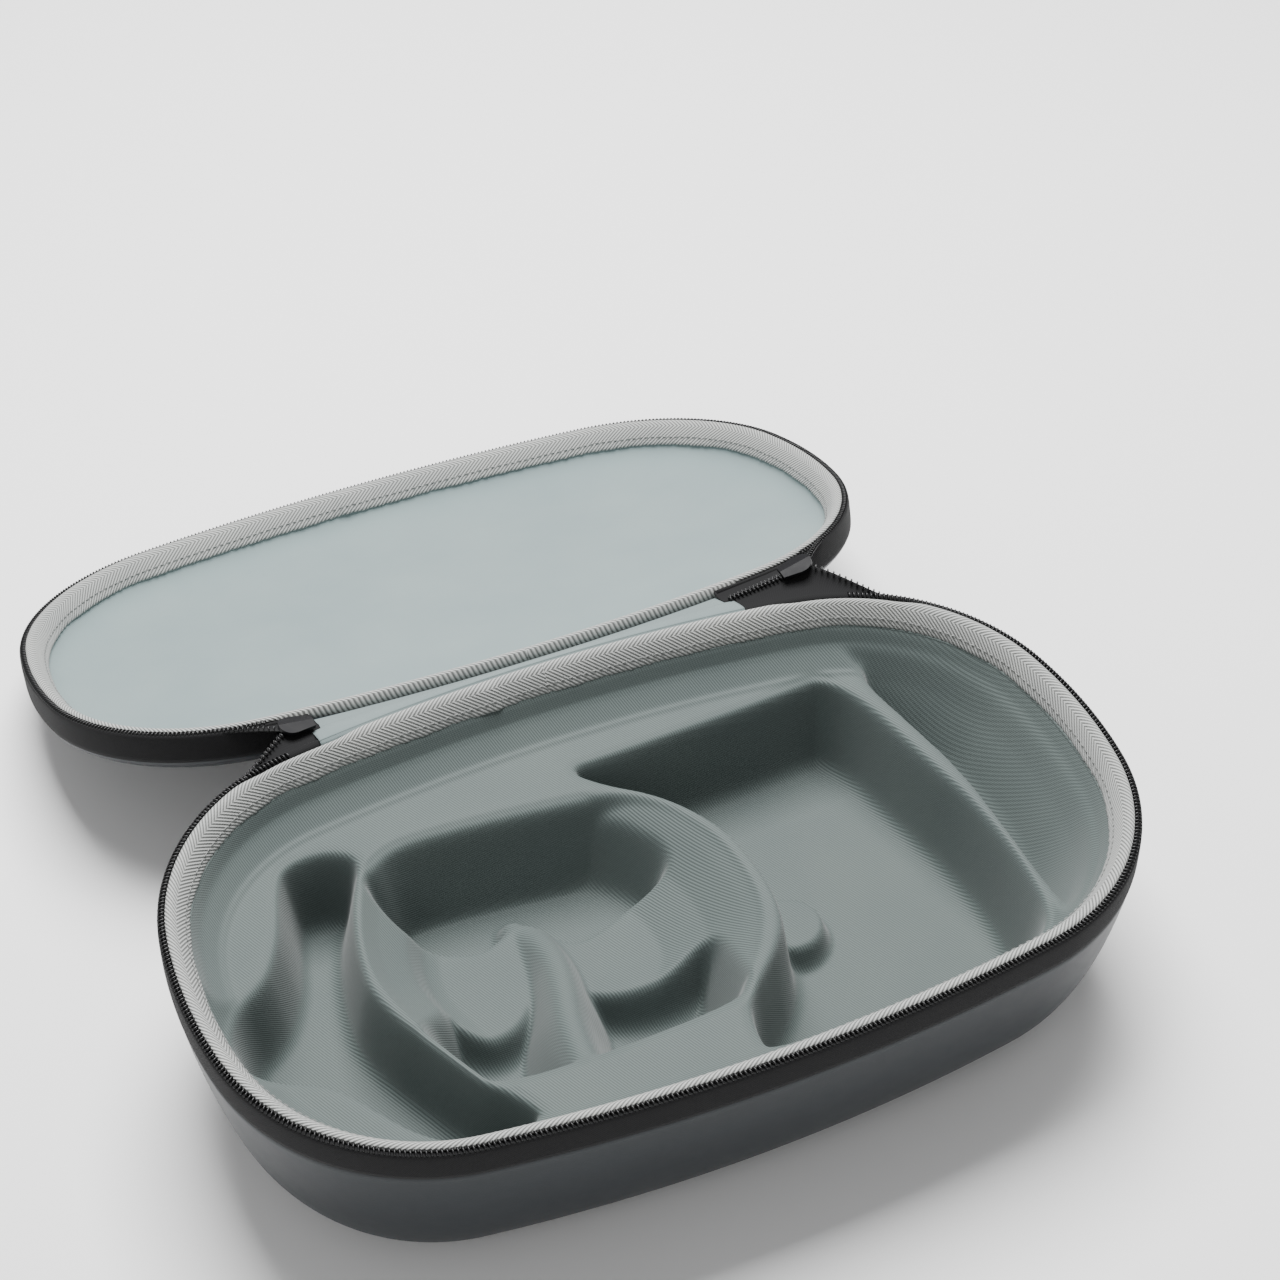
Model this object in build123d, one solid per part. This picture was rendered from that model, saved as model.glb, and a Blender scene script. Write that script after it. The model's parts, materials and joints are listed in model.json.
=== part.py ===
from build123d import *
import os
from math import atan2, cos, degrees, hypot, radians, sin, sqrt

# Hard-shell zip case with a moulded tray for a headset, shown open and lying on a table.
# Millimetres. X runs along the case, +Y points at the hinge side, +Z is up. The origin is at
# the middle of the flat underside of the base. Sections are drawn with the rim plane, where
# the two halves meet, at height 0, and are lifted by the depth of the base when written.

# Plan outline: four arcs tangent to each other, mirrored about both middle planes
HALF_LENGTH = 170.0
HALF_WIDTH = 102.0
LONG_RADIUS = 685.0
END_RADIUS = 172.0
CORNER_RADIUS = 80.5

# Depths of the two halves and the wall of the moulded shells
BASE_DEPTH = 80.0
LID_DEPTH = 24.5
SHELL_WALL = 4.5
SHELL_GAP = 5.0
FIT = 0.1

# Wall curves: where the flat face starts, and how far the wall runs straight before it bends
BASE_FLAT_INSET = 40.0
BASE_WALL_RUN = 45.0
BASE_FLOOR_RUN = 25.0
BASE_DRAFT = 7.0
LID_FLAT_INSET = 48.0
LID_WALL_RUN = 5.0
LID_FLOOR_RUN = 30.0
LID_DRAFT = 10.0

# Zipper tape, coil and edge binding, as insets from the outline
TAPE_WIDTH = 12.0
TAPE_THICKNESS = 0.9
TAPE_CLEARANCE = 0.6
COIL_WIDTH = 2.0
COIL_HEIGHT = 1.6
COIL_CLEARANCE = 0.3
BINDING_START = 3.2
BINDING_INSET = 9.5
BINDING_DEPTH = 7.6

# Moulded tray
TRAY_WALL = 3.0
DECK_DEPTH = 20.0
SKIRT_LEAN = 2.0
SKIRT_DROP = 3.6
POCKET_DRAFT = 8.0
LINING_WALL = 1.2

# Hinge line of the lid, measured outwards from the back of the outline and up from the rim
HINGE_OUT = 4.0
HINGE_UP = -1.0
FLOOR_CLEARANCE = 0.3
PATCH_LEFT = 86.0
PATCH_RIGHT = 80.0
PATCH_HEIGHT = 13.0
PATCH_THICKNESS = 1.2
PATCH_PROUD = 1.3
FOLD_STATIONS = 9
STRIP_THICKNESS = 1.0

# Turning lines of the handle and of the zipper ends, which turn a fixed share of the lid's angle
HANDLE_OUT = -1.7
HANDLE_UP = -4.9
ZIP_END_OUT = -3.5
ZIP_END_UP = -6.9
TURN_SHARE = 0.48

# Sliders and pulls
SLIDER_LENGTH = 13.0
SLIDER_WIDTH = 9.6
SLIDER_PLATE = 1.6
SLIDER_TAIL = 6.4
SLIDER_RIDGE = 2.0
SLIDER_FIT = 0.3
SLIDER_TRAVEL = 10.0
ZIP_END_GAP = 1.5
LEFT_SLIDER_AT = 93.4
RIGHT_SLIDER_AT = 110.0
PIN_RADIUS = 0.7
PIN_HEIGHT = 2.4
EAR_SPACING = 3.0
EAR_WALL = 1.0
EYE_RADIUS = 1.8
PULL_LENGTH = 32.0
PULL_WIDTH = 8.0
PULL_THICKNESS = 3.2
LINK_LENGTH = 12.0
LINK_THICKNESS = 1.6

# Handle: two-lobed grip on two straps
GRIP_LENGTH = 112.0
GRIP_HEIGHT = 18.0
GRIP_THICKNESS = 8.0
GRIP_SKIN = 1.2
GRIP_OUT = 6.0
GRIP_DOWN = 36.0
STRAP_WIDTH = 10.0
STRAP_THICKNESS = 2.0
STRAP_ROOT_DOWN = 6.6
STRAP_ROOT_OUT = 1.9
STRAP_BEND_DOWN = 17.0
STRAP_BEND_OUT = 2.2
STRAP_INSIDE = 8.0


def corner_geometry():
    """Centre of the corner arc, and the two angles where it meets its neighbours."""
    side, end = HALF_WIDTH - LONG_RADIUS, HALF_LENGTH - END_RADIUS
    side_reach, end_reach = LONG_RADIUS - CORNER_RADIUS, END_RADIUS - CORNER_RADIUS
    apart = hypot(end, side)
    along = (apart**2 + side_reach**2 - end_reach**2) / (2 * apart)
    across = sqrt(side_reach**2 - along**2)
    ux, uy = end / apart, -side / apart
    x, y = ux * along + uy * across, side + uy * along - ux * across
    if x < 0:
        x, y = ux * along - uy * across, side + uy * along + ux * across
    return x, y, degrees(atan2(y - side, x)), degrees(atan2(y, x - end))


CORNER_X, CORNER_Y, SIDE_ANGLE, END_ANGLE = corner_geometry()


def outline_arcs():
    """The outline as arcs (centre x, centre y, radius, start, sweep), from the back's middle."""
    side, end = HALF_WIDTH - LONG_RADIUS, HALF_LENGTH - END_RADIUS
    corner = SIDE_ANGLE - END_ANGLE
    return [
        (0, side, LONG_RADIUS, 90, 90 - SIDE_ANGLE),
        (-CORNER_X, CORNER_Y, CORNER_RADIUS, 180 - SIDE_ANGLE, corner),
        (-end, 0, END_RADIUS, 180 - END_ANGLE, 2 * END_ANGLE),
        (-CORNER_X, -CORNER_Y, CORNER_RADIUS, 180 + END_ANGLE, corner),
        (0, -side, LONG_RADIUS, 180 + SIDE_ANGLE, 180 - 2 * SIDE_ANGLE),
        (CORNER_X, -CORNER_Y, CORNER_RADIUS, 360 - SIDE_ANGLE, corner),
        (end, 0, END_RADIUS, 360 - END_ANGLE, 2 * END_ANGLE),
        (CORNER_X, CORNER_Y, CORNER_RADIUS, END_ANGLE, corner),
        (0, side, LONG_RADIUS, SIDE_ANGLE, 90 - SIDE_ANGLE),
    ]


PERIMETER = sum(radius * radians(sweep) for _, _, radius, _, sweep in outline_arcs())


def arcs_between(start, stop):
    """The stretch of the outline between two distances, counted leftwards from the back."""
    found, travelled = [], 0.0
    for x, y, radius, angle, sweep in outline_arcs():
        length = radius * radians(sweep)
        first, last = max(start, travelled), min(stop, travelled + length)
        if last - first > 1e-6:
            begin = angle + degrees((first - travelled) / radius)
            found.append((x, y, radius, begin, degrees((last - first) / radius)))
        travelled += length
    return found


def outline_place(distance):
    """Point on the outline and the direction of its outward normal in degrees."""
    distance = distance % PERIMETER
    x, y, radius, angle, _ = arcs_between(distance, min(distance + 1, PERIMETER))[0]
    return x + radius * cos(radians(angle)), y + radius * sin(radians(angle)), angle


def outline_face(inset, height):
    """Flat face bounded by the outline moved inwards, at a height above the rim plane."""
    edges = []
    for x, y, radius, angle, sweep in outline_arcs():
        edges.append(CenterArc((x, y), radius - inset, angle, sweep))
    return Pos(0, 0, height) * make_face(Curve() + edges)


def ring(section, start=0.0, stop=PERIMETER):
    """Carries a section round a stretch of the outline, arc by arc."""
    pieces = []
    for x, y, radius, angle, sweep in arcs_between(start, stop):
        out = (cos(radians(angle)), sin(radians(angle)), 0)
        plane = Plane(origin=(x, y, 0), x_dir=out, z_dir=(out[1], -out[0], 0))
        face = plane * section(radius)
        pieces.append(revolve(face, Axis((x, y, 0), (0, 0, 1)), sweep))
    body = pieces[0]
    for piece in pieces[1:]:
        body = body + piece
    return body


def polygon_section(points):
    """Section from (inset, height) points."""
    def draw(radius):
        return make_face(Polyline([(radius - inset, height) for inset, height in points], close=True))
    return draw


def wall_controls(thickness, depth, flat_inset, wall_run, floor_run, draft):
    """Control points (inset, depth) of a wall curve, moved inwards by a thickness."""
    run = wall_run - 0.45 * thickness
    lean = sin(radians(draft)) * run
    drop = cos(radians(draft)) * run
    return [
        (FIT + thickness, TAPE_WIDTH),
        (FIT + thickness + lean, TAPE_WIDTH + drop),
        (flat_inset - floor_run + 0.45 * thickness, depth - thickness),
        (flat_inset, depth - thickness),
    ]


def base_wall(thickness):
    return wall_controls(thickness, BASE_DEPTH, BASE_FLAT_INSET, BASE_WALL_RUN, BASE_FLOOR_RUN,
                         BASE_DRAFT)


def lid_wall(thickness):
    return wall_controls(thickness, LID_DEPTH, LID_FLAT_INSET, LID_WALL_RUN, LID_FLOOR_RUN, LID_DRAFT)


def wall_section(outer, inner, side, top):
    """Section between two wall curves, closed by the rim edge; side is -1 below, 1 above."""
    recess = TAPE_THICKNESS + FIT

    def draw(radius):
        def at(point):
            return radius - point[0], side * point[1]
        rim_inner = (inner[0][0], top)
        lines = [Bezier(*[at(p) for p in outer]), Bezier(*[at(p) for p in inner])]
        lines.append(Line(at(outer[3]), at(inner[3])))
        if outer[0][0] < recess:
            corners = [outer[0], (recess, TAPE_WIDTH), (recess, top), rim_inner, inner[0]]
        else:
            corners = [outer[0], (outer[0][0], top), rim_inner, inner[0]]
        lines.append(Polyline([at(corner) for corner in corners]))
        return make_face(Curve() + lines)
    return draw


def moulded_dish(outer, inner, side, top):
    """Moulded dish: a wall round the outline and a flat face that closes it."""
    wall = ring(wall_section(outer, inner, side, top))
    face = outline_face(outer[3][0], side * outer[3][1])
    return wall + extrude(face, outer[3][1] - inner[3][1], dir=(0, 0, -side))


def opening_angle():
    """Lid angle at which the far edge of the open lid comes down to the table."""
    points = lid_wall(0)
    low, high = 180.0, 210.0
    for _ in range(40):
        angle = (low + high) / 2
        lowest = 0.0
        for step in range(41):
            t = step / 40
            weights = ((1 - t)**3, 3 * t * (1 - t)**2, 3 * t * t * (1 - t), t**3)
            inset = sum(w * p[0] for w, p in zip(weights, points))
            height = sum(w * p[1] for w, p in zip(weights, points))
            y, z = turned(-HALF_WIDTH + inset, height, angle)
            lowest = min(lowest, z)
        if lowest < FLOOR_CLEARANCE - BASE_DEPTH:
            high = angle
        else:
            low = angle
    return round(low, 2)


def turned(y, z, angle):
    """A point of the closed lid, moved to where it is with the lid opened by an angle."""
    dy, dz = y - HALF_WIDTH - HINGE_OUT, z - HINGE_UP
    c, s = cos(radians(angle)), sin(radians(angle))
    return HALF_WIDTH + HINGE_OUT + dy * c + dz * s, HINGE_UP - dy * s + dz * c


OPEN_ANGLE = opening_angle()
TURN_ANGLE = OPEN_ANGLE * TURN_SHARE
HINGE_AXIS = Axis((0, HALF_WIDTH + HINGE_OUT, HINGE_UP), (1, 0, 0))
ZIP_END_AXIS = Axis((0, HALF_WIDTH + ZIP_END_OUT, ZIP_END_UP), (1, 0, 0))


def opened(piece):
    return piece.rotate(HINGE_AXIS, -OPEN_ANGLE)


def spread(piece):
    return piece.rotate(ZIP_END_AXIS, -TURN_ANGLE)


def rounded_block(x_size, y_size, z_size, radius):
    """Block with its four edges along Z rounded."""
    return extrude(RectangleRounded(x_size, y_size, radius), z_size / 2, both=True)


# ---- Shells, bindings, tapes and coils -------------------------------------------------

ZIP_START = LEFT_SLIDER_AT + SLIDER_LENGTH / 2 + SLIDER_TRAVEL + ZIP_END_GAP
ZIP_STOP = PERIMETER - RIGHT_SLIDER_AT - SLIDER_LENGTH / 2 - SLIDER_TRAVEL - ZIP_END_GAP
COIL_INSET = TAPE_THICKNESS + FIT


def tape_section(side):
    return polygon_section([(0, side * TAPE_WIDTH), (0, side * TAPE_CLEARANCE),
                            (TAPE_THICKNESS, side * TAPE_CLEARANCE), (TAPE_THICKNESS, side * TAPE_WIDTH)])


def make_tape(side):
    """Woven tape on the outside of the rim, along the part of the zipper that opens."""
    return ring(tape_section(side), ZIP_START, ZIP_STOP)


def make_tape_ends(side):
    """The two ends of the tape, from the open part of the zipper to the hinge patch."""
    left = ring(tape_section(side), PATCH_LEFT, ZIP_START - FIT)
    right = ring(tape_section(side), ZIP_STOP + FIT, PERIMETER - PATCH_RIGHT)
    return Compound(children=[left, right])


def make_coil(side):
    """Open half of the zipper coil, beyond the sliders."""
    low, high = COIL_CLEARANCE, COIL_CLEARANCE + COIL_HEIGHT
    points = [(COIL_INSET, side * low), (COIL_INSET + COIL_WIDTH, side * low),
              (COIL_INSET + COIL_WIDTH, side * high), (COIL_INSET, side * high)]
    return ring(polygon_section(points), ZIP_START, ZIP_STOP)


def slider_room(distance, direction):
    """Space that a slider needs at the rim, over its whole travel."""
    spaces = []
    for step in range(3):
        x, y, angle = outline_place(distance + direction * SLIDER_TRAVEL * step / 2)
        block = Box(16, SLIDER_LENGTH + 4, SLIDER_WIDTH + 2)
        spaces.append(Location((x, y, 0), (0, 0, angle)) * block)
    return spaces


def make_binding(side):
    """Soft binding that wraps the rim and covers the edge of the lining."""
    points = [(BINDING_START, side * 0.6), (BINDING_START + 1.4, side * 0.3),
              (BINDING_INSET, side * BINDING_DEPTH), (BINDING_INSET - 0.8, side * (BINDING_DEPTH + 0.8)),
              (SHELL_WALL + 3.1, side * (SHELL_GAP + 1.4)), (SHELL_WALL + 1.4, side * (SHELL_GAP - FIT)),
              (BINDING_START, side * (SHELL_GAP - FIT))]
    body = ring(polygon_section(points))
    for space in slider_room(LEFT_SLIDER_AT, 1) + slider_room(-RIGHT_SLIDER_AT, -1):
        body = body - space
    return body


def make_base_shell():
    return moulded_dish(base_wall(0), base_wall(SHELL_WALL), -1, SHELL_GAP)


def make_lid_shell():
    return moulded_dish(lid_wall(0), lid_wall(SHELL_WALL), 1, SHELL_GAP)


def make_lid_lining():
    outside = lid_wall(SHELL_WALL + FIT)
    inside = lid_wall(SHELL_WALL + FIT + LINING_WALL)
    return moulded_dish(outside, inside, 1, SHELL_GAP + 2.0)


# ---- Tray ------------------------------------------------------------------------------

def pocket_outlines():
    """Plan corners, corner radius and depth of each pocket."""
    return {
        "left_slot": ([(-124, 54), (-99, 56), (-106, -34), (-134, -34)], 9, 56),
        "face_well": ([(-84, 47), (2, 47), (20, 22), (8, -50), (-70, -54), (-90, -6)], 16, 46),
        "main_well": ([(30, 62), (100, 62), (106, 10), (106, -62), (30, -66), (44, -20), (48, 26)], 9, 60),
        "end_well": ([(118, 56), (134, 36), (143, 8), (143, -12), (134, -38), (120, -56)], 6, 52),
    }


def pocket(corners, radius, depth, grow):
    """Tapered pocket that opens at the deck, grown by a wall."""
    face = make_face(Polyline(corners, close=True))
    face = fillet(face.vertices(), radius)
    if grow:
        face = offset(face, grow, kind=Kind.ARC)
    height = depth - DECK_DEPTH + grow
    return extrude(Pos(0, 0, -DECK_DEPTH) * face, height, dir=(0, 0, -1), taper=POCKET_DRAFT)


def make_tray():
    """One moulded sheet: skirt against the shell, deck, and four pockets."""
    edge = base_wall(SHELL_WALL + FIT)[0][0]
    foot = edge + SKIRT_LEAN
    top, low = -SHELL_GAP - SKIRT_DROP, -DECK_DEPTH - TRAY_WALL
    skirt = [(edge, top), (edge, -TAPE_WIDTH), (foot, low), (foot + TRAY_WALL, low),
             (edge + TRAY_WALL, -TAPE_WIDTH), (edge + TRAY_WALL, top)]
    body = ring(polygon_section(skirt))
    deck = outline_face(foot + TRAY_WALL / 2, -DECK_DEPTH)
    body = body + extrude(deck, TRAY_WALL, dir=(0, 0, -1))
    for corners, radius, depth in pocket_outlines().values():
        body = body + pocket(corners, radius, depth, TRAY_WALL)
    for corners, radius, depth in pocket_outlines().values():
        body = body - pocket(corners, radius, depth, 0)
    return body


# ---- Hinge fabric ----------------------------------------------------------------------

def folded_sheet(inset, thickness, low, high, crown):
    """Sheet that runs down the base wall, over the hinge gap and down the open lid wall."""
    sections = []
    for station in range(FOLD_STATIONS):
        share = station / (FOLD_STATIONS - 1)
        x, y, _ = outline_place((PATCH_LEFT - 0.5) * (1 - share) - (PATCH_RIGHT - 0.5) * share)
        outer, inner = y - inset, y - inset - thickness
        base_side = [(inner, -low), (inner, -high)]
        lid_side = [turned(inner, high, OPEN_ANGLE), turned(inner, low, OPEN_ANGLE),
                    turned(outer, low, OPEN_ANGLE), turned(outer, high + thickness, OPEN_ANGLE)]
        middle = (y + lid_side[0][0]) / 2
        points = base_side + [(middle, crown)] + lid_side
        points = points + [(middle, crown - thickness), (outer, -high - thickness), (outer, -low)]
        sections.append(make_face(Polyline([(x, py, pz) for py, pz in points], close=True)))
    return loft(sections, ruled=True)


def make_patch():
    return folded_sheet(-PATCH_PROUD, PATCH_THICKNESS, PATCH_HEIGHT, 3.0, -2.8)


def make_strip():
    return folded_sheet(BINDING_START - 2 * FIT - STRIP_THICKNESS, STRIP_THICKNESS, 2.6, 0.6, -0.4)


# ---- Zipper ends and sliders -----------------------------------------------------------

def make_meshed_coil():
    """The closed stretch of coil between the right end of the hinge patch and its slider."""
    high = COIL_HEIGHT + COIL_CLEARANCE
    points = [(COIL_INSET, -high), (COIL_INSET + COIL_WIDTH, -high), (COIL_INSET + COIL_WIDTH, high),
              (COIL_INSET, high)]
    first = PERIMETER - RIGHT_SLIDER_AT + SLIDER_LENGTH / 2 + SLIDER_FIT
    return spread(ring(polygon_section(points), first, PERIMETER - PATCH_RIGHT - SLIDER_FIT))


def slider_frame(distance):
    """Place of a slider: local X outwards, local Y along the zipper, local Z across it."""
    x, y, angle = outline_place(distance)
    return Location((x, y, 0), (0, 0, angle))


def inner_plate(direction):
    """Inner plate: narrow at the closed end, round at the mouth, with a low ridge along it."""
    half, tail = SLIDER_WIDTH / 2, SLIDER_TAIL / 2
    mouth = SLIDER_LENGTH / 2 - half
    points = [(-SLIDER_LENGTH / 2, -tail), (mouth - 1.0, -half),
              (mouth - 1.0, half), (-SLIDER_LENGTH / 2, tail)]
    outline = make_face(Polyline(points, close=True)) + Pos(mouth, 0) * Circle(half)
    blank = Rot(0, 90, 0) * Rot(0, 0, 90) * extrude(outline, SLIDER_RIDGE)
    side = half + 1
    ridge = [(0, -side), (0, side), (SLIDER_PLATE / 2, side), (SLIDER_RIDGE, 0), (SLIDER_PLATE / 2, -side)]
    roof = extrude(make_face(Polyline(ridge, close=True)), 2 * SLIDER_LENGTH)
    roof = Pos(0, SLIDER_LENGTH, 0) * Rot(90, 0, 0) * roof
    plate = blank & roof
    return plate if direction > 0 else mirror(plate, Plane.XZ)


def make_slider(distance):
    """Slider: outer and inner plate joined by a thin wedge, with two ears and a pin."""
    direction = 1 if distance > 0 else -1
    outer = Pos(SLIDER_FIT + SLIDER_PLATE / 2, 0, 0) * Rot(0, 90, 0) * rounded_block(
        SLIDER_WIDTH, SLIDER_LENGTH, SLIDER_PLATE, 3.4)
    inner_at = -COIL_INSET - COIL_WIDTH - SLIDER_FIT
    inner = Pos(inner_at, 0, 0) * mirror(inner_plate(direction), Plane.YZ)
    wedge = Pos(inner_at / 2, direction * 1.5, 0) * Box(abs(inner_at) + 1.0, 6, 2 * SLIDER_FIT)
    base = SLIDER_FIT + SLIDER_PLATE
    body = outer + inner + wedge
    for sign in (-1, 1):
        across = sign * (EAR_SPACING + EAR_WALL) / 2
        post = Box(PIN_HEIGHT, 3.0, EAR_WALL)
        dome = Cylinder(1.5, EAR_WALL)
        body = body + Pos(base + PIN_HEIGHT / 2 - 0.1, 0, across) * post
        body = body + Pos(base + PIN_HEIGHT, 0, across) * dome
    body = body + Pos(base + PIN_HEIGHT, 0, 0) * Cylinder(PIN_RADIUS, EAR_SPACING + EAR_WALL)
    return spread(slider_frame(distance) * body)


def pin_place():
    return SLIDER_FIT + SLIDER_PLATE + PIN_HEIGHT


def make_link(distance):
    """Pull link: an eye on the pin that widens into a flat tongue."""
    eye = Cylinder(EYE_RADIUS, EAR_SPACING - 2 * SLIDER_FIT)
    neck = Pos(EYE_RADIUS + 0.6, 0, 0) * Box(3.4, LINK_THICKNESS, EAR_SPACING - 2 * SLIDER_FIT)
    tongue = Pos(LINK_LENGTH / 2 + 2.0, 0, 0) * Box(LINK_LENGTH - 2.0, LINK_THICKNESS, PULL_WIDTH - 3.0)
    body = eye + neck + tongue - Cylinder(PIN_RADIUS + SLIDER_FIT, EAR_SPACING)
    return spread(slider_frame(distance) * Pos(pin_place(), 0, 0) * body)


def make_pull_grip(distance):
    """Moulded grip over the tongue, thicker at its free end."""
    length = PULL_LENGTH - 7.0
    grip = rounded_block(length, PULL_WIDTH, PULL_THICKNESS, 3.0)
    grip = fillet(grip.edges().filter_by(Axis.Z, reverse=True), 1.0)
    grip = Pos(7.0 + length / 2, 0, 0) * Rot(90, 0, 0) * grip
    slot = Pos(LINK_LENGTH / 2 + 2.0, 0, 0) * Box(LINK_LENGTH - 2.0, LINK_THICKNESS, PULL_WIDTH - 3.0)
    return spread(slider_frame(distance) * Pos(pin_place(), 0, 0) * (grip - slot))


# ---- Handle ----------------------------------------------------------------------------

def grip_section(shrink):
    """Two round lobes side by side, one above the other, joined along the seam."""
    lobe = GRIP_THICKNESS / 2 - shrink
    reach = GRIP_HEIGHT / 2 - GRIP_THICKNESS / 2
    lobes = Pos(0, reach) * Circle(lobe) + Pos(0, -reach) * Circle(lobe)
    if shrink:
        return lobes
    return lobes + Rectangle(2.4, 2 * reach)


def grip_plane():
    return Plane(origin=(0, HALF_WIDTH + GRIP_OUT, -GRIP_DOWN), x_dir=(0, 1, 0), z_dir=(1, 0, 0))


def make_grip_cover():
    """Leather cover, closed at its ends, with room for the two cores and the straps."""
    plane = grip_plane()
    cover = extrude(plane * grip_section(0), GRIP_LENGTH / 2, both=True)
    cores = extrude(plane * grip_section(GRIP_SKIN), GRIP_LENGTH / 2 - GRIP_SKIN, both=True)
    return cover - cores - make_straps_tool()


def make_cores():
    plane = grip_plane()
    cores = extrude(plane * grip_section(GRIP_SKIN + FIT), GRIP_LENGTH / 2 - GRIP_SKIN - FIT, both=True)
    return cores - make_straps_tool()


def strap_path():
    """Corners of a strap's middle line, from the hinge fold down into the grip."""
    out = HALF_WIDTH
    top = -GRIP_DOWN + GRIP_HEIGHT / 2
    return [(out + STRAP_ROOT_OUT, -STRAP_ROOT_DOWN), (out + STRAP_BEND_OUT, -STRAP_BEND_DOWN),
            (out + GRIP_OUT, top), (out + GRIP_OUT, top - STRAP_INSIDE)]


def strap_solid(centre, thickness, width):
    points = strap_path()
    left = [(y - thickness / 2, z) for y, z in points]
    right = [(y + thickness / 2, z) for y, z in reversed(points)]
    face = make_face(Polyline([(centre - width / 2, y, z) for y, z in left + right], close=True))
    return extrude(face, width, dir=(1, 0, 0))


def strap_centres():
    reach = GRIP_LENGTH / 2 - GRIP_SKIN - STRAP_WIDTH / 2
    return (-reach, reach)


def make_straps():
    return Compound(children=[strap_solid(x, STRAP_THICKNESS, STRAP_WIDTH) for x in strap_centres()])


def make_straps_tool():
    """Strap shape with its clearance, cut from what the straps run into."""
    tools = [strap_solid(x, STRAP_THICKNESS + 2 * FIT, STRAP_WIDTH + 2 * FIT) for x in strap_centres()]
    return tools[0] + Pos(0, 0, -FIT) * tools[0] + tools[1] + Pos(0, 0, -FIT) * tools[1]


def make_strap_ends():
    """Folded strap ends with bar tacks, sewn under the hinge fold."""
    ends = []
    for x in strap_centres():
        y, z = strap_path()[0]
        ends.append(Pos(x, y, z + 0.75) * rounded_block(STRAP_WIDTH + 2, 3.6, 1.3, 0.6))
    return Compound(children=ends)


# ---- Writing ---------------------------------------------------------------------------

def nodes():
    """Every sub-part, with the rim plane at height 0 and the lid open."""
    parts = {
        "base_shell": make_base_shell(),
        "headset_tray": make_tray(),
        "base_edge_binding": make_binding(-1),
        "base_zipper_tape": make_tape(-1),
        "base_tape_ends": make_tape_ends(-1),
        "base_zipper_coil": make_coil(-1),
        "hinge_outer_patch": make_patch(),
        "hinge_inner_strip": make_strip(),
        "lid_shell": opened(make_lid_shell()),
        "lid_lining": opened(make_lid_lining()),
        "lid_edge_binding": opened(make_binding(1)),
        "lid_zipper_tape": opened(make_tape(1)),
        "lid_tape_ends": opened(make_tape_ends(1)),
        "lid_zipper_coil": opened(make_coil(1)),
        "meshed_coil": make_meshed_coil(),
        "handle_grip_cover": make_grip_cover(),
        "handle_cores": make_cores(),
        "handle_straps": make_straps(),
        "handle_strap_ends": make_strap_ends(),
    }
    for name, distance in (("left", LEFT_SLIDER_AT), ("right", -RIGHT_SLIDER_AT)):
        parts["slider_" + name] = make_slider(distance)
        parts["pull_link_" + name] = make_link(distance)
        parts["pull_grip_" + name] = make_pull_grip(distance)
    return parts


def main():
    os.makedirs("parts", exist_ok=True)
    print("open angle", OPEN_ANGLE, "turn angle", round(TURN_ANGLE, 3), "perimeter", round(PERIMETER, 1))
    print("handle axis", HALF_WIDTH + HANDLE_OUT, BASE_DEPTH + HANDLE_UP)
    for name, piece in nodes().items():
        export_step(Pos(0, 0, BASE_DEPTH) * piece, os.path.join("parts", name + ".step"))
        print(name, round(piece.volume))


if __name__ == "__main__":
    main()
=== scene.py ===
"""Looks of a hard-shell zip case, shown open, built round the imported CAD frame.

The case is two moulded shells with bound rims, a zipper, a hinge of two cloth layers, a rolled handle and
a cloth-covered tray. Lengths inside the classes are millimetres, heights are counted from the rim plane of
the base, and a point is turned into metres only when its mesh is written.
"""

import json
import logging
import math
from dataclasses import dataclass
from enum import Enum

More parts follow.
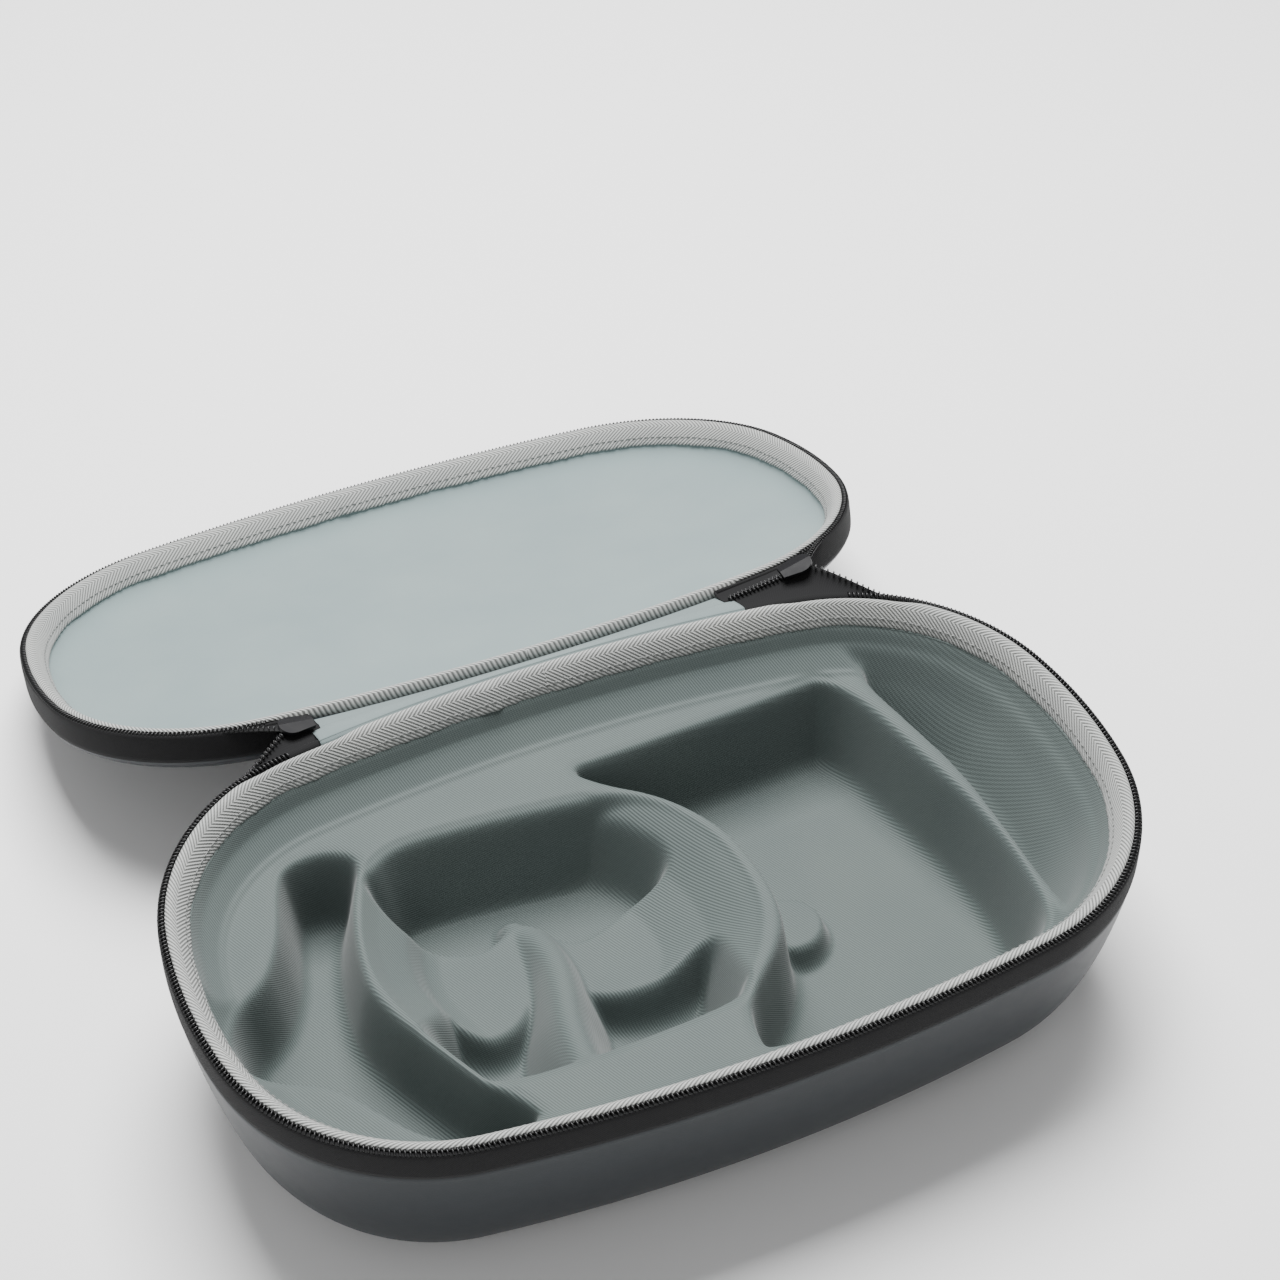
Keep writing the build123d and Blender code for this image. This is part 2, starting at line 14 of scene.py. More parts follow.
import bmesh
import bpy
import numpy as np
from mathutils import Matrix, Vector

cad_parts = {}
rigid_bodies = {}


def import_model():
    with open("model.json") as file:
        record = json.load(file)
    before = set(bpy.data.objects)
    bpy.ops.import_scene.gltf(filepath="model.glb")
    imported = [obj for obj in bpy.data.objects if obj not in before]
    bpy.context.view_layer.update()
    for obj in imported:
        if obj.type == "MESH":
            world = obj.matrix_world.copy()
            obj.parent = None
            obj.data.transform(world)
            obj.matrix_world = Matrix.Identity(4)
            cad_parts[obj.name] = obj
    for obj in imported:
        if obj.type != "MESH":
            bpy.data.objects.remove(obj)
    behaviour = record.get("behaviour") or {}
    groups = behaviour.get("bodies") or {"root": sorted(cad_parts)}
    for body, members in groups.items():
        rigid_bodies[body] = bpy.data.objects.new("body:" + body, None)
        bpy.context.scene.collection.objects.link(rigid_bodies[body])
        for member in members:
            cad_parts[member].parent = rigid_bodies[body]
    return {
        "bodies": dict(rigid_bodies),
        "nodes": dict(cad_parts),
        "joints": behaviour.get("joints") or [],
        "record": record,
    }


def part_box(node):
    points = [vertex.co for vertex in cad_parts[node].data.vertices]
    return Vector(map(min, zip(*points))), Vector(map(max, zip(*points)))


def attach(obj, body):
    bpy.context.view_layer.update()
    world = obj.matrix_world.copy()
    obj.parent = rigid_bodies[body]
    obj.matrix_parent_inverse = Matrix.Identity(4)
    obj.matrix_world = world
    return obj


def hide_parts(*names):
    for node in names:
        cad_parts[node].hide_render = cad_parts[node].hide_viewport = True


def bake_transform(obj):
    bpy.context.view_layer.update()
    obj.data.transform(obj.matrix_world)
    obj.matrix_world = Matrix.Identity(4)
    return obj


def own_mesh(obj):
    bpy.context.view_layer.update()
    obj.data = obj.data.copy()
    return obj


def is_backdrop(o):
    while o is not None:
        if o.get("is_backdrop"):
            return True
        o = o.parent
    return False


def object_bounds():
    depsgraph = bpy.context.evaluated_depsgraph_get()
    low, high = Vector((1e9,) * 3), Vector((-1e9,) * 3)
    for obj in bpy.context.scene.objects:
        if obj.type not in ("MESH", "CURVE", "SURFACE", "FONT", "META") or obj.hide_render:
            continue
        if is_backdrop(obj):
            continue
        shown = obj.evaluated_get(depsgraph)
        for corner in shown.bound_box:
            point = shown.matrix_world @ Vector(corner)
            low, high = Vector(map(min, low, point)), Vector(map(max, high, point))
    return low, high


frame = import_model()

MM = 0.001
BASE_DEPTH = 80.0  # the rim plane of the base stands this high, in millimetres
LID_DEPTH = 24.5
log = logging.getLogger("case")


class Half(Enum):
    """Which half of the case a piece belongs to; the value is the side of the rim plane it lies on."""

    BASE = -1
    LID = 1

    @property
    def body(self) -> str:
        """Name of the body that the half moves with."""
        return self.name.lower()


class Weave(Enum):
    """How a cloth finish is woven."""

    RIBBED = "ribs that lie straight in plan"
    KNIT = "fine even knit"
    PLAIN = "plain weave along the piece"
    HERRINGBONE = "two rows of slanting ribs that meet in a spine"


# ---- Curves and fields -----------------------------------------------------------------------------


def bezier(control: np.ndarray, count: int) -> np.ndarray:
    """Cubic curve: each corner weighted by its Bernstein polynomial.

    Args:
        control: four control points, one per row.
        count: number of points along the curve.
    Returns:
        The points, one per row.
    """
    t = np.linspace(0, 1, count)[:, None]
    c = np.asarray(control, float)
    return (1 - t)**3 * c[0] + 3 * t * (1 - t)**2 * c[1] + 3 * t * t * (1 - t) * c[2] + t**3 * c[3]


def rounded(corners: np.ndarray, closed: bool, rounds: int = 3) -> np.ndarray:
    """Corner cutting: each side keeps its middle half, so corners turn into smooth bends.

    Args:
        corners: points of the outline, one per row.
        closed: whether the last point joins the first.
        rounds: how many times the corners are cut.
    Returns:
        The points of the smooth line.
    """
    line = np.asarray(corners, float)
    for _ in range(rounds):
        following = np.roll(line, -1, axis=0) if closed else line[1:]
        start = line if closed else line[:-1]
        cut = np.stack([0.75 * start + 0.25 * following, 0.25 * start + 0.75 * following], axis=1)
        cut = cut.reshape(-1, line.shape[1])
        line = cut if closed else np.vstack([line[:1], cut, line[-1:]])
    return line


def spaced(line: np.ndarray, count: int, closed: bool = False) -> np.ndarray:
    """Points at even distances along a line, by linear interpolation over its length.

    Args:
        line: the points of the line.
        count: number of points wanted.
        closed: whether the line runs back to its first point, which isn't repeated.
    Returns:
        The evenly spaced points.
    """
    path = np.vstack([line, line[:1]]) if closed else line
    reach = np.concatenate([[0], np.cumsum(np.linalg.norm(np.diff(path, axis=0), axis=1))])
    at = np.linspace(0, reach[-1], count + 1)[:-1] if closed else np.linspace(0, reach[-1], count)
    return np.stack([np.interp(at, reach, path[:, k]) for k in range(path.shape[1])], axis=1)


def nearest(points: np.ndarray, line: np.ndarray, closed: bool) -> tuple[np.ndarray, np.ndarray]:
    """Distance from points to a line, and how far along it the nearest place is.

    The nearest place on each side is found by projecting on the side and keeping within its ends.

    Args:
        points: plan points, one per row.
        line: the line's points.
        closed: whether the line runs back to its first point.
    Returns:
        The distances, and the places as fractional point numbers.
    """
    start = line if closed else line[:-1]
    side = (np.roll(line, -1, axis=0) if closed else line[1:]) - start
    square = np.maximum((side**2).sum(1), 1e-12)
    distance = np.empty(len(points))
    place = np.empty(len(points))
    for block in range(0, len(points), 6000):
        part = points[block:block + 6000, None, :] - start
        share = np.clip((part * side).sum(2) / square, 0, 1)
        gap = np.linalg.norm(part - share[..., None] * side, axis=2)
        best = gap.argmin(1)
        row = np.arange(len(best))
        distance[block:block + 6000] = gap[row, best]
        place[block:block + 6000] = best + share[row, best]
    return distance, place


def depth_inside(points: np.ndarray, outline: np.ndarray) -> np.ndarray:
    """Distance to a closed outline, positive inside and negative outside.

    A point is inside when a line from it to the right crosses the outline an odd number of times.

    Args:
        points: plan points, one per row.
        outline: the outline's points.
    Returns:
        The signed distances.
    """
    distance, _ = nearest(points, outline, True)
    following = np.roll(outline, -1, axis=0)
    inside = np.zeros(len(points), bool)
    for block in range(0, len(points), 6000):
        x, y = points[block:block + 6000, 0:1], points[block:block + 6000, 1:2]
        crosses = (outline[:, 1] > y) != (following[:, 1] > y)
        rise = np.where(following[:, 1] == outline[:, 1], 1e-9, following[:, 1] - outline[:, 1])
        at = (following[:, 0] - outline[:, 0]) * (y - outline[:, 1]) / rise + outline[:, 0]
        inside[block:block + 6000] = (crosses & (x < at)).sum(1) % 2 == 1
    return np.where(inside, distance, -distance)


def soft_max(a: np.ndarray, b: np.ndarray, width: float) -> np.ndarray:
    """The larger of two fields, with the crease between them rounded over a width."""
    near = np.maximum(width - np.abs(a - b), 0) / width
    return np.maximum(a, b) + near * near * width * 0.25


def soft_min(a: np.ndarray, b: np.ndarray, width: float) -> np.ndarray:
    """The smaller of two fields, with the crease between them rounded over a width."""
    return -soft_max(-a, -b, width)


def smooth_step(value: np.ndarray, low: float, high: float) -> np.ndarray:
    """0 below low and 1 above high, with a cubic ease between them."""
    t = np.clip((value - low) / (high - low), 0, 1)
    return t * t * (3 - 2 * t)


def ripple(value: np.ndarray, seed: int, terms: int = 5) -> np.ndarray:
    """Irregular wave between about -1 and 1: a sum of sines with seeded lengths and phases."""
    rng = np.random.default_rng(seed)
    total = np.zeros_like(value, dtype=float)
    for length, phase in zip(rng.uniform(0.5, 2.4, terms), rng.uniform(0, 6.28, terms)):
        total = total + np.sin(value * length + phase)
    return total / terms * 1.6


# ---- Meshes ----------------------------------------------------------------------------------------


def write_mesh(name: str, points: np.ndarray, faces: list, uv: np.ndarray | None = None,
               lift: float = 0.0) -> bpy.types.Object:
    """Puts points and faces into a mesh object at the origin, smooth shaded and facing outwards.

    Args:
        name: name of the piece.
        points: points in millimetres, with heights from the rim plane.
        faces: lists of point numbers.
        uv: one pair per face corner, in metres.
        lift: height of the rim plane, in millimetres.
    Returns:
        The new object.
    """
    world = (np.asarray(points, float).reshape(-1, 3) + np.array([0, 0, lift])) * MM
    mesh = bpy.data.meshes.new(name)
    mesh.from_pydata(world.tolist(), [], faces)
    if uv is not None:
        layer = mesh.uv_layers.new(name="cloth")
        layer.data.foreach_set("uv", np.asarray(uv, np.float32).ravel())
    work = bmesh.new()
    work.from_mesh(mesh)
    bmesh.ops.remove_doubles(work, verts=work.verts, dist=2e-6)
    bmesh.ops.recalc_face_normals(work, faces=work.faces)
    work.to_mesh(mesh)
    work.free()
    mesh.polygons.foreach_set("use_smooth", [True] * len(mesh.polygons))
    mesh.update()
    thing = bpy.data.objects.new(name, mesh)
    bpy.context.scene.collection.objects.link(thing)
    return thing


def grid_faces(rows: int, columns: int, wrap_rows: bool, wrap_columns: bool) -> np.ndarray:
    """Quads of a grid of points, row by row, with its last row or column joined to the first if asked.

    Args:
        rows: rows of points.
        columns: points in a row.
        wrap_rows: whether the last row joins the first.
        wrap_columns: whether the last column joins the first.
    Returns:
        Four point numbers per face.
    """
    i = np.arange(rows if wrap_rows else rows - 1)[:, None]
    j = np.arange(columns if wrap_columns else columns - 1)[None, :]
    i2, j2 = (i + 1) % rows, (j + 1) % columns
    quads = np.stack([i * columns + j, i2 * columns + j, i2 * columns + j2, i * columns + j2], axis=-1)
    return quads.reshape(-1, 4)


def grid_uv(u: np.ndarray, v: np.ndarray) -> np.ndarray:
    """Corner coordinates of a grid's quads, from the place of each row (u) and each column (v).

    Args:
        u: place of each row, in millimetres.
        v: place of each column, in millimetres.
    Returns:
        One pair per face corner, in metres.
    """
    uu = np.stack([u[:-1], u[1:], u[1:], u[:-1]], axis=-1)[:, None, :]
    vv = np.stack([v[:-1], v[:-1], v[1:], v[1:]], axis=-1)[None, :, :]
    uu, vv = np.broadcast_arrays(uu, vv)
    return np.stack([uu, vv], axis=-1).reshape(-1, 2) * MM


def swept(name: str, points: np.ndarray, along: np.ndarray, across: np.ndarray, lift: float,
          ring: bool) -> bpy.types.Object:
    """Mesh of a closed section carried along a path.

    Args:
        name: name of the piece.
        points: grid of points, stations along the path by places round the section.
        along: distance of each station, with the end repeated when the path is a ring.
        across: distance round the section, with its start repeated at the end.
        lift: height of the rim plane.
        ring: whether the path closes on itself; if not, both ends are capped.
    Returns:
        The new object.
    """
    rows, columns = points.shape[:2]
    faces = grid_faces(rows, columns, ring, True).tolist()
    uv = grid_uv(along, across)
    if not ring:
        ends = [list(range(columns)), list(range((rows - 1) * columns, rows * columns))]
        faces += ends
        for station in (along[0], along[-1]):
            flat = np.stack([np.full(columns, station), across[:-1]], axis=1) * MM
            uv = np.vstack([uv, flat])
    return write_mesh(name, points, faces, uv, lift)


def repeated(name: str, shape: np.ndarray, quads: np.ndarray, centres: np.ndarray, axes: np.ndarray,
             lift: float) -> bpy.types.Object:
    """One mesh of many copies of a small shape, each turned by its own three axes and moved to its centre.

    Args:
        name: name of the piece.
        shape: points of the small shape.
        quads: its faces.
        centres: centre of each copy.
        axes: for each copy, three rows: where the shape's own three axes point.
        lift: height of the rim plane.
    Returns:
        The new object.
    """
    placed = np.einsum("pk,nkc->npc", shape, axes) + centres[:, None, :]
    faces = (quads[None] + (np.arange(len(centres)) * len(shape))[:, None, None]).reshape(-1, 4)
    return write_mesh(name, placed, faces.tolist(), None, lift)


def loop_shape(across: float, high: float, wire: float, steps: int = 10,
               sides: int = 5) -> tuple[np.ndarray, np.ndarray]:
    """Ring of wire round an ellipse in the shape's first and third axes; closed both ways.

    Args:
        across: half width of the ellipse.
        high: half height of the ellipse.
        wire: radius of the wire.
        steps: points round the ellipse.
        sides: points round the wire.
    Returns:
        The points and the faces.
    """
    a = np.linspace(0, 2 * np.pi, steps, endpoint=False)[:, None]
    b = np.linspace(0, 2 * np.pi, sides, endpoint=False)[None, :]
    x = (across + wire * np.cos(b)) * np.cos(a)
    z = (high + wire * np.cos(b)) * np.sin(a)
    y = wire * np.sin(b) + 0 * a
    return np.stack([x, y, z], axis=-1).reshape(-1, 3), grid_faces(steps, sides, True, True)


def bead_shape(length: float, wide: float, high: float, steps: int = 6,
               sides: int = 6) -> tuple[np.ndarray, np.ndarray]:
    """Spindle along the shape's second axis, with its cross radius following a half sine.

    Args:
        length: length of the spindle.
        wide: half width at the middle.
        high: half height at the middle.
        steps: rings along it.
        sides: points in a ring.
    Returns:
        The points and the faces.
    """
    t = np.linspace(0.02, 0.98, steps)[:, None]
    b = np.linspace(0, 2 * np.pi, sides, endpoint=False)[None, :]
    swell = np.sin(np.pi * t)**0.6
    x, z = wide * swell * np.cos(b), high * swell * np.sin(b)
    y = (t - 0.5) * length + 0 * b
    ends = np.array([[0, -length / 2, 0], [0, length / 2, 0]])
    points = np.stack([x, y, z], axis=-1)
    points[0], points[-1] = ends[0], ends[1]
    return points.reshape(-1, 3), grid_faces(steps, sides, False, True)


# ---- The rim ---------------------------------------------------------------------------------------


@dataclass(frozen=True)
class RimOutline:
    """Plan outline of the case: four arcs, tangent to each other, mirrored about both middle planes."""

    half_length: float
    half_width: float
    long_radius: float = 685.0
    end_radius: float = 172.0
    corner_radius: float = 80.5

    def arcs(self) -> np.ndarray:
        """The arcs as rows (centre x, centre y, radius, start, sweep), leftwards from the back's middle."""
        side, end = self.half_width - self.long_radius, self.half_length - self.end_radius
        reach, stretch = self.long_radius - self.corner_radius, self.end_radius - self.corner_radius
        apart = math.hypot(end, side)
        near = (apart**2 + reach**2 - stretch**2) / (2 * apart)
        off = math.sqrt(reach**2 - near**2)
        ux, uy = end / apart, -side / apart
        x, y = ux * near + uy * off, side + uy * near - ux * off
        if x < 0:
            x, y = ux * near - uy * off, side + uy * near + ux * off
        top, flank = math.atan2(y - side, x), math.atan2(y, x - end)
        bend, half = top - flank, math.pi / 2
        return np.array([
            (0, side, self.long_radius, half, half - top),
            (-x, y, self.corner_radius, math.pi - top, bend),
            (-end, 0, self.end_radius, math.pi - flank, 2 * flank),
            (-x, -y, self.corner_radius, math.pi + flank, bend),
            (0, -side, self.long_radius, math.pi + top, math.pi - 2 * top),
            (x, -y, self.corner_radius, 2 * math.pi - top, bend),
            (end, 0, self.end_radius, 2 * math.pi - flank, 2 * flank),
            (x, y, self.corner_radius, flank, bend),
            (0, side, self.long_radius, top, half - top),
        ])

    @property
    def perimeter(self) -> float:
        """Length of the outline."""
        arcs = self.arcs()
        return float((arcs[:, 2] * arcs[:, 4]).sum())

    def place(self, distance: np.ndarray, inset: np.ndarray | float = 0.0) -> tuple[np.ndarray, np.ndarray]:
        """Points at distances along the outline, moved inwards, and the outward direction as an angle.

        The arc is found from the lengths travelled; its centre, radius and angle give the point.

        Args:
            distance: distances along the outline, counted leftwards from the middle of the back.
            inset: how far the points are moved inwards.
        Returns:
            The plan points, and the angles.
        """
        arcs = self.arcs()
        lengths = arcs[:, 2] * arcs[:, 4]
        ends = np.cumsum(lengths)
        s = np.mod(np.asarray(distance, float), ends[-1])
        k = np.minimum(np.searchsorted(ends, s, side="right"), len(arcs) - 1)
        angle = arcs[k, 3] + (s - (ends[k] - lengths[k])) / arcs[k, 2]
        radius = arcs[k, 2] - inset
        return np.stack([arcs[k, 0] + radius * np.cos(angle), arcs[k, 1] + radius * np.sin(angle)], -1), angle

    def carry(self, section: np.ndarray, stations: np.ndarray) -> np.ndarray:
        """Grid of points: a section of (inset, height) pairs carried to each station of the outline.

        Args:
            section: the pairs, one per row, or one set of rows per station.
            stations: distances along the outline.
        Returns:
            Points, stations by places in the section.
        """
        wide = np.broadcast_to(section, (len(stations), *section.shape[-2:]))
        grid, _ = self.place(stations[:, None] + 0 * wide[..., 0], wide[..., 0])
        return np.concatenate([grid, wide[..., 1:2]], axis=-1)


@dataclass(frozen=True)
class CaseFrame:
    """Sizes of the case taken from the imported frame, and the moves that its joints make."""

    outline: RimOutline
    rim: float
    lid_depth: float
    open_angle: float
    hinge: tuple[float, float]
    tape: float
    spread_angle: float
    spread_axis: tuple[float, float]

    @classmethod
    def from_frame(cls, packed: dict) -> "CaseFrame":
        """Reads the sizes from the CAD boxes and joints.

        Args:
        Returns:
            The sizes, in millimetres and degrees.
        """
        low, high = (np.array(c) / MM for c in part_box("base_zipper_tape"))
        joints = {j["name"]: j for j in packed["joints"]}
        lid, ends = joints["lid_hinge"], joints["zipper_ends_turn"]
        rim = BASE_DEPTH
        return cls(
            outline=RimOutline(float(high[0]), float(-low[1])),
            rim=rim,
            lid_depth=LID_DEPTH,
            open_angle=lid["range_deg"][1],
            hinge=(lid["pos_m"][1] / MM, lid["pos_m"][2] / MM - rim),
            tape=rim - float(low[2]),
            spread_angle=ends["range_deg"][1],
            spread_axis=(ends["pos_m"][1] / MM, ends["pos_m"][2] / MM - rim),
        )

    def turned(self, points: np.ndarray, degrees: float, axis: tuple[float, float]) -> np.ndarray:
        """Points turned about a line along X, opening outwards for a positive angle.

        Args:
            points: points in millimetres, in the last axis.
            degrees: angle of the turn.
            axis: the line's y and height.
        Returns:
            The turned points.
        """
        c, s = math.cos(math.radians(degrees)), math.sin(math.radians(degrees))
        dy, dz = points[..., 1] - axis[0], points[..., 2] - axis[1]
        return np.stack([points[..., 0], axis[0] + dy * c + dz * s, axis[1] - dy * s + dz * c], axis=-1)

    def opened(self, points: np.ndarray, half: Half = Half.LID) -> np.ndarray:
        """Points of a shut half, moved to where they are with the case open."""
        return self.turned(points, self.open_angle, self.hinge) if half is Half.LID else points

    def spread(self, points: np.ndarray) -> np.ndarray:
        """Points of the shut zipper ends, moved to where they are with the case open."""
        return self.turned(points, self.spread_angle, self.spread_axis)


# ---- Finishes --------------------------------------------------------------------------------------


class NodeBench:
    """Small helper that adds and joins the nodes of one material."""

    def __init__(self, name: str) -> None:
        """Starts an empty material with its output.

        Args:
            name: name of the material.
        """
        self.material = bpy.data.materials.new(name)
        self.material.use_nodes = True
        self.tree = self.material.node_tree
        self.tree.nodes.clear()
        self.output = self.tree.nodes.new("ShaderNodeOutputMaterial")

    def add(self, kind: str, inputs: dict | None = None, **settings) -> bpy.types.Node:
        """Adds a node.

        Args:
            kind: the node's type name.
            inputs: socket name or number to a value, or to the socket that feeds it.
            settings: the node's own options.
        Returns:
            The node.
        """
        node = self.tree.nodes.new(kind)
        for key, value in settings.items():
            setattr(node, key, value)
        for key, value in (inputs or {}).items():
            if isinstance(value, bpy.types.NodeSocket):
                self.tree.links.new(value, node.inputs[key])
            else:
                node.inputs[key].default_value = value
        return node

    def math(self, operation: str, *values) -> bpy.types.NodeSocket:
        """Result of a Math node on values or sockets."""
        return self.add("ShaderNodeMath", dict(enumerate(values)), operation=operation).outputs[0]

    def noise(self, vector: bpy.types.NodeSocket, scale: float, detail: float = 3.0,
              rough: float = 0.55) -> bpy.types.NodeSocket:
        """Grey value of a noise texture."""
        made = self.add("ShaderNodeTexNoise", {"Vector": vector, "Scale": scale, "Detail": detail,
                                               "Roughness": rough})
        return made.outputs["Fac"]

    def shades(self, value: bpy.types.NodeSocket, stops: list[tuple[float, tuple]]) -> bpy.types.NodeSocket:
        """Colour ramp over a grey value.

        Args:
            value: the grey socket.
            stops: place and colour of each stop, in order.
        Returns:
            The colour socket.
        """
        ramp = self.add("ShaderNodeValToRGB", {0: value})
        bar = ramp.color_ramp
        while len(bar.elements) < len(stops):
            bar.elements.new(0.5)
        for element, (place, colour) in zip(bar.elements, stops):
            element.position = place
            element.color = (*colour, 1)
        return ramp.outputs[0]

    def bump(self, height: bpy.types.NodeSocket, strength: float, distance: float,
             under: bpy.types.NodeSocket | None = None) -> bpy.types.NodeSocket:
        """Normal of a bump, laid over another one if given.

        Args:
            height: grey socket that raises the surface.
            strength: share of the bump that shows.
            distance: height of the bump in metres.
            under: normal socket of a bump below it.
        Returns:
            The normal socket.
        """
        inputs = {"Height": height, "Strength": strength, "Distance": distance}
        if under is not None:
            inputs["Normal"] = under
        return self.add("ShaderNodeBump", inputs).outputs[0]

    def close(self, colour: bpy.types.NodeSocket | tuple, roughness: bpy.types.NodeSocket | float,
              normal: bpy.types.NodeSocket, **fixed: float) -> bpy.types.Material:
        """Joins everything to one shader.

        Args:
            colour: colour socket or three numbers.
            roughness: grey socket or number.
            normal: normal socket.
            fixed: constant inputs of the shader, with underscores for spaces.
        Returns:
            The finished material.
        """
        shader = self.add("ShaderNodeBsdfPrincipled", {"Normal": normal, "Roughness": roughness})
        if isinstance(colour, bpy.types.NodeSocket):
            self.tree.links.new(colour, shader.inputs["Base Color"])
        else:
            shader.inputs["Base Color"].default_value = (*colour, 1)
        for key, value in fixed.items():
            shader.inputs[key.replace("_", " ")].default_value = value
        self.tree.links.new(shader.outputs[0], self.output.inputs["Surface"])
        return self.material


def scaled(colour: tuple, factor: float) -> tuple:
    """A colour made darker or lighter by a factor."""
    return tuple(min(1.0, c * factor) for c in colour)


@dataclass(frozen=True)
class SkinFinish:
    """Coated fabric over foam: fine leather grain, a soft sheen and slight unevenness."""

    name: str
    colour: tuple
    grain: float = 900.0
    relief: float = 0.00006
    roughness: float = 0.46

    def build(self) -> bpy.types.Material:
        """Grain from two cell sizes, with colour and gloss that drift over the surface."""
        bench = NodeBench(self.name)
        place = bench.add("ShaderNodeTexCoord").outputs["Object"]
        cells = bench.add("ShaderNodeTexVoronoi", {"Vector": place, "Scale": self.grain},
                          feature="DISTANCE_TO_EDGE").outputs["Distance"]
        fine = bench.noise(place, self.grain * 1.9, 2.0)
        drift = bench.noise(place, 16.0, 3.0)
        patches = bench.noise(place, 70.0, 4.0)
        pores = bench.math("MULTIPLY_ADD", fine, 0.5, bench.math("MINIMUM", cells, 0.35))
        soft = bench.bump(patches, 0.12, 0.0006)
        normal = bench.bump(pores, 0.35, self.relief, soft)
        tone = bench.math("MULTIPLY_ADD", drift, 0.7, bench.math("MULTIPLY", patches, 0.3))
        colour = bench.shades(tone, [(0.3, scaled(self.colour, 0.9)), (0.7, scaled(self.colour, 1.12))])
        gloss = bench.math("MULTIPLY_ADD", patches, 0.12, self.roughness - 0.06)
        return bench.close(colour, gloss, normal, Sheen_Weight=0.03, Sheen_Roughness=0.4,
                           Specular_IOR_Level=0.3)


@dataclass(frozen=True)
class ClothFinish:
    """Woven or knitted cloth, with its pattern on the piece's own coordinates."""

    name: str
    colour: tuple
    weave: Weave
    pitch: float
    contrast: float = 0.25
    relief: float = 0.00018
    heading: float = 0.0
    spine: float = 0.0
    sheen: float = 0.25
    roughness: float = 0.85

    def ribs(self, bench: NodeBench) -> tuple:
        """Height of the weave between 0 and 1, and the vector that its fine noise reads.

        Args:
            bench: the material being built.
        Returns:
            The height socket and the vector socket.
        """
        coordinates = bench.add("ShaderNodeTexCoord")
        if self.weave in (Weave.RIBBED, Weave.KNIT):
            place = coordinates.outputs["Object"]
        else:
            place = coordinates.outputs["UV"]
        split = bench.add("ShaderNodeSeparateXYZ", {0: place}).outputs
        turn = 2 * math.pi / self.pitch
        if self.weave is Weave.RIBBED:
            c, s = math.cos(self.heading) * turn, math.sin(self.heading) * turn
            drift = bench.noise(place, 60.0, 2.0)
            phase = bench.math("MULTIPLY_ADD", split[1], s, bench.math("MULTIPLY", split[0], c))
            phase = bench.math("MULTIPLY_ADD", drift, 1.2, phase)
            upright = bench.math("SINE", bench.math("MULTIPLY_ADD", split[2], turn, phase))
            facing = bench.add("ShaderNodeSeparateXYZ", {0: coordinates.outputs["Normal"]}).outputs[2]
            level = bench.add("ShaderNodeMapRange", {"Value": bench.math("ABSOLUTE", facing), "From Min": 0.3,
                                                     "From Max": 0.75}).outputs[0]
            wave = bench.math("MULTIPLY", bench.math("SINE", phase), level)
            rest = bench.math("MULTIPLY", bench.math("SUBTRACT", 1.0, level), 0.7)
            wave = bench.math("MULTIPLY_ADD", upright, rest, wave)
        elif self.weave in (Weave.KNIT, Weave.PLAIN):
            stretch = 1.0 if self.weave is Weave.KNIT else 0.8
            u = bench.math("SINE", bench.math("MULTIPLY", split[0], turn))
            v = bench.math("SINE", bench.math("MULTIPLY", split[1], turn * stretch))
            wave = bench.math("MULTIPLY", u, v)
        else:
            off = bench.math("ABSOLUTE", bench.math("SUBTRACT", split[1], self.spine))
            slant = bench.math("MULTIPLY", off, 1.25)
            phase = bench.math("MULTIPLY", bench.math("ADD", split[0], slant), turn)
            thread = bench.math("SINE", bench.math("MULTIPLY", off, turn * 2.3))
            wave = bench.math("MULTIPLY_ADD", thread, 0.1, bench.math("SINE", phase))
        return bench.math("MULTIPLY_ADD", wave, 0.5, 0.5), place

    def build(self) -> bpy.types.Material:
        """Weave colours and relief, with fibre noise and slow shading over them."""
        bench = NodeBench(self.name)
        height, place = self.ribs(bench)
        fibre = bench.noise(place, 4200.0, 2.0)
        drift = bench.noise(place, 22.0, 4.0)
        low, high = scaled(self.colour, 1 - self.contrast), scaled(self.colour, 1 + self.contrast * 0.6)
        woven = bench.shades(bench.math("MULTIPLY_ADD", fibre, 0.3, bench.math("MULTIPLY", height, 0.7)),
                             [(0.15, low), (0.75, high)])
        shade = bench.shades(drift, [(0.3, (0.9, 0.91, 0.92)), (0.7, (1.0, 1.0, 0.99))])
        colour = bench.add("ShaderNodeMixRGB", {0: 1.0, 1: woven, 2: shade}, blend_type="MULTIPLY").outputs[0]
        fuzz = bench.bump(fibre, 0.25, 0.00008)
        normal = bench.bump(height, 0.6, self.relief, fuzz)
        return bench.close(colour, self.roughness, normal, Sheen_Weight=self.sheen, Sheen_Roughness=0.5,
                           Specular_IOR_Level=0.25)


@dataclass(frozen=True)
class HardFinish:
    """Enamelled metal, moulded nylon or soft rubber: slight flow marks, fine specks and rubbed patches."""

    name: str
    colour: tuple
    roughness: float
    speckle: float = 1500.0
    relief: float = 0.00002
    shine: float = 0.4

    def build(self) -> bpy.types.Material:
        """Speckled colour and gloss over a faint relief."""
        bench = NodeBench(self.name)
        place = bench.add("ShaderNodeTexCoord").outputs["Object"]
        specks = bench.noise(place, self.speckle, 3.0)
        rub = bench.noise(place, 240.0, 4.0)
        colour = bench.shades(bench.math("MULTIPLY_ADD", rub, 0.6, bench.math("MULTIPLY", specks, 0.4)),
                              [(0.35, scaled(self.colour, 0.8)), (0.7, scaled(self.colour, 1.5))])
        gloss = bench.math("MULTIPLY_ADD", rub, 0.18, self.roughness - 0.07)
        normal = bench.bump(specks, 0.4, self.relief)
        return bench.close(colour, gloss, normal, Specular_IOR_Level=self.shine)


